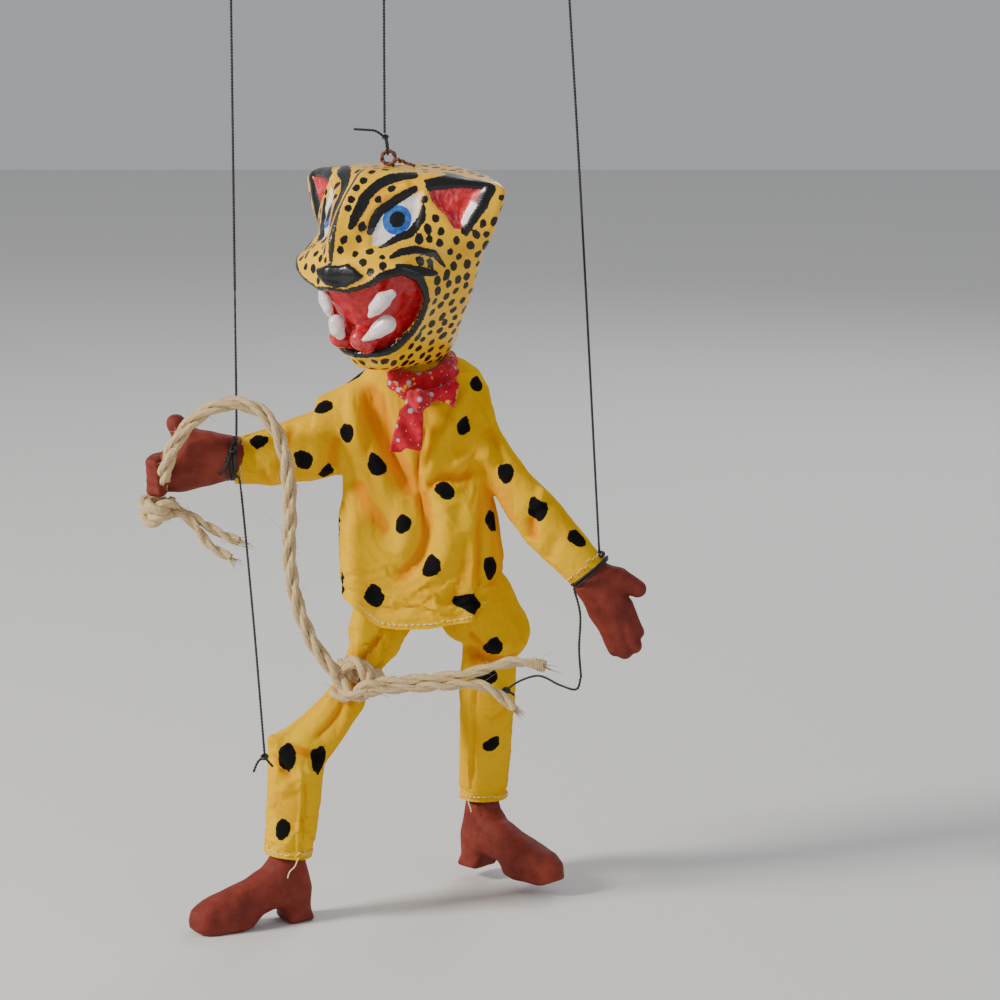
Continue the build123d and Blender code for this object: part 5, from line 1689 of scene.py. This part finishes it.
def build_rope():
    span = [(-106.5, -22.0, 208.5), (-106.0, -29.5, 212.0), (-104.0, -35.5, 220.0), (-100.0, -36.8, 230.0),
            (-91.0, -36.5, 241.5), (-80.0, -36.5, 248.0), (-68.0, -36.5, 249.0), (-57.5, -38.0, 244.0),
            (-50.5, -38.5, 232.0), (-47.0, -38.5, 215.0), (-46.5, -38.5, 195.0), (-47.0, -38.5, 176.0),
            (-43.5, -39.5, 155.0), (-36.0, -40.5, 136.0), (-25.0, -40.5, 121.0)]
    rope = rope_object("rope_from_hand_to_thigh", rope_parts(span, 40.0, 1.55, 1.85, strands=3),
                       ["rope_span"])
    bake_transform(rope)

    knot = []
    knot += rope_parts([(-110.5, -20.5, 201.5), (-115.0, -26.0, 200.5), (-112.5, -32.5, 199.5),
                        (-106.0, -33.5, 199.5), (-102.2, -28.0, 200.0), (-105.0, -21.0, 199.0)], 18)
    knot += rope_parts([(-104.0, -22.0, 197.0), (-111.0, -20.5, 194.5), (-114.5, -26.5, 193.5),
                        (-110.0, -32.0, 193.5), (-103.5, -31.0, 197.5)], 18)
    knot += rope_parts([(-106, -30, 203), (-103.5, -28.5, 199.5), (-97.5, -27.5, 196.5),
                        (-90.0, -27.2, 192.0), (-80.0, -27.0, 186.0), (-71.2, -27.0, 182.2)], 22, 1.25, 1.0,
                        fray=16)
    knot += rope_parts([(-104, -30, 196), (-97.0, -29.0, 195.2), (-91.5, -29.4, 190.0),
                        (-84.5, -29.8, 180.5), (-75.0, -30.0, 174.8)], 22, 1.25, 1.0, 1.5, fray=16)
    hand = rope_object("rope_knot_under_fist", knot, ["rope_hand_knot"])
    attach(hand, "right_forearm")

    first = unit(np.cross(CINCH_WAY, [0, 1, 0]))
    second = np.cross(CINCH_WAY, first)
    knot = []
    for lift, radius, start, sweep in ((-2.8, 9.2, 0.0, 6.2), (2.8, 9.4, 1.6, 5.6)):
        angle = np.linspace(start, start + sweep, 20)
        ring = (CINCH + CINCH_WAY * lift
                + radius * (np.cos(angle)[:, None] * first + np.sin(angle)[:, None] * second))
        knot += rope_parts(ring, 20, 1.7, 1.4, start)
    knot += rope_parts([(-27.0, -40.0, 122.5), (-22.5, -41.0, 117.0), (-17.5, -42.5, 112.5),
                        (-13.0, -44.0, 112.0), (-10.6, -45.0, 116.5), (-12.0, -44.5, 124.0),
                        (-16.5, -42.0, 127.2), (-20.6, -39.5, 124.5), (-21.0, -38.0, 118.0)], 22, 1.7, 1.45)
    knot += rope_parts([(-27.0, -37.0, 112.0), (-21.0, -41.5, 111.0), (-15.0, -45.5, 114.0),
                        (-9.0, -46.8, 118.0), (-2.0, -46.5, 118.0)], 22, 1.7, 1.4)
    thigh = rope_object("rope_knot_round_thigh", knot, ["rope_thigh_knot"])
    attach(thigh, "right_thigh")

    upper = [(-11.0, -45.5, 117.5), (-1.0, -47.0, 119.0), (14.0, -48.0, 120.5), (32.0, -48.6, 122.6),
             (43.0, -48.8, 125.0), (56.0, -48.4, 128.6), (66.0, -48.0, 128.2), (73.0, -48.0, 126.6)]
    lower = [(-12.0, -46.5, 113.5), (0.0, -48.0, 115.8), (16.0, -49.2, 117.0), (32.0, -49.6, 118.4),
             (42.0, -49.8, 118.2), (51.0, -50.0, 113.6), (58.5, -50.0, 106.6)]
    ends = rope_parts(upper, 30, 1.45, 1.15, fray=6) + rope_parts(lower, 26, 1.45, 1.15, 1.0, fray=26)
    t = np.linspace(0, 4.4, 60)
    whip = np.stack([68.2 + t * 0.95, -48.0 + 2.75 * np.cos(t * 2 * math.pi),
                     127.6 - t * 0.18 + 2.75 * np.sin(t * 2 * math.pi)], -1)
    ends += [tube(whip, 0.42, 6)]
    tails = rope_object("rope_loose_ends", ends, ["rope_ends"])
    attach(tails, "right_thigh")


# ---------------------------------------------------------------- CAD pieces that stay
def finish_frame_pieces():
    for name in ("control_bar", "chest_block", "hip_block", "waist_stick", "neck_peg"):
        paint_node(name, WOOD)
    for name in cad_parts:
        if name.endswith("_wire") or name.endswith("_staples") or name.endswith("_eye"):
            paint_node(name, STEEL)


def paint_node(name, material):
    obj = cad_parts[name]
    if not obj.material_slots:
        obj.data.materials.append(material)
    for slot in obj.material_slots:
        slot.material = material


# ---------------------------------------------------------------- stage, light and camera
def build_stage():
    size = 4.0
    corners = [(-size, -size, 0), (size, -size, 0), (size, size, 0), (-size, size, 0)]
    mesh = bpy.data.meshes.new("floor")
    mesh.from_pydata(corners, [], [(0, 1, 2, 3)])
    floor = bpy.data.objects.new("floor", mesh)
    bpy.context.scene.collection.objects.link(floor)
    p = Paint("pale_floor")
    tone = p.principled(Base_Color=rgb(0.74, 0.73, 0.71), Roughness=0.8)
    floor.data.materials.append(p.finish(tone))
    world_light = bpy.data.worlds.new("studio")
    bpy.context.scene.world = world_light
    world_light.use_nodes = True
    background = world_light.node_tree.nodes["Background"]
    background.inputs["Color"].default_value = (0.92, 0.95, 1.0, 1.0)
    background.inputs["Strength"].default_value = 0.42
    for name, place, aim, power, side, colour in (
            ("key", (-1.8, -0.8, 1.3), (0.0, 0.0, 0.2), 60.0, 0.5, (1.0, 0.97, 0.92)),
            ("fill", (1.6, -1.3, 0.9), (0.0, 0.0, 0.2), 6.0, 1.2, (0.95, 0.97, 1.0)),
            ("rim", (0.6, 1.6, 1.3), (0.0, 0.0, 0.25), 10.0, 0.9, (1.0, 1.0, 1.0))):
        data = bpy.data.lights.new(name, "AREA")
        data.energy = power
        data.size = side
        data.color = colour
        lamp = bpy.data.objects.new(name, data)
        lamp.location = place
        lamp.rotation_euler = (Vector(aim) - Vector(place)).to_track_quat("-Z", "Y").to_euler()
        bpy.context.scene.collection.objects.link(lamp)


# the photo's viewpoint: place in layout mm, degrees that it looks down, focal length in mm
CAMERA_PLACE = (51.7, -1700.0, 506.0)
CAMERA_DOWN = 10.3
CAMERA_LENS = 130.2


def build_camera():
    data = bpy.data.cameras.new("camera")
    data.lens = CAMERA_LENS
    data.sensor_width = 36.0
    data.clip_start = 0.05
    camera = bpy.data.objects.new("camera", data)
    camera.location = to_world(CAMERA_PLACE)
    camera.rotation_euler = (math.radians(90.0 - CAMERA_DOWN), 0.0, 0.0)
    bpy.context.scene.collection.objects.link(camera)
    bpy.context.scene.camera = camera


build_head()
build_fangs()
build_eyelet()
build_shirt()
build_trousers()
build_neckerchief()
build_clay()
build_cords()
build_rope()
finish_frame_pieces()
build_stage()
build_camera()
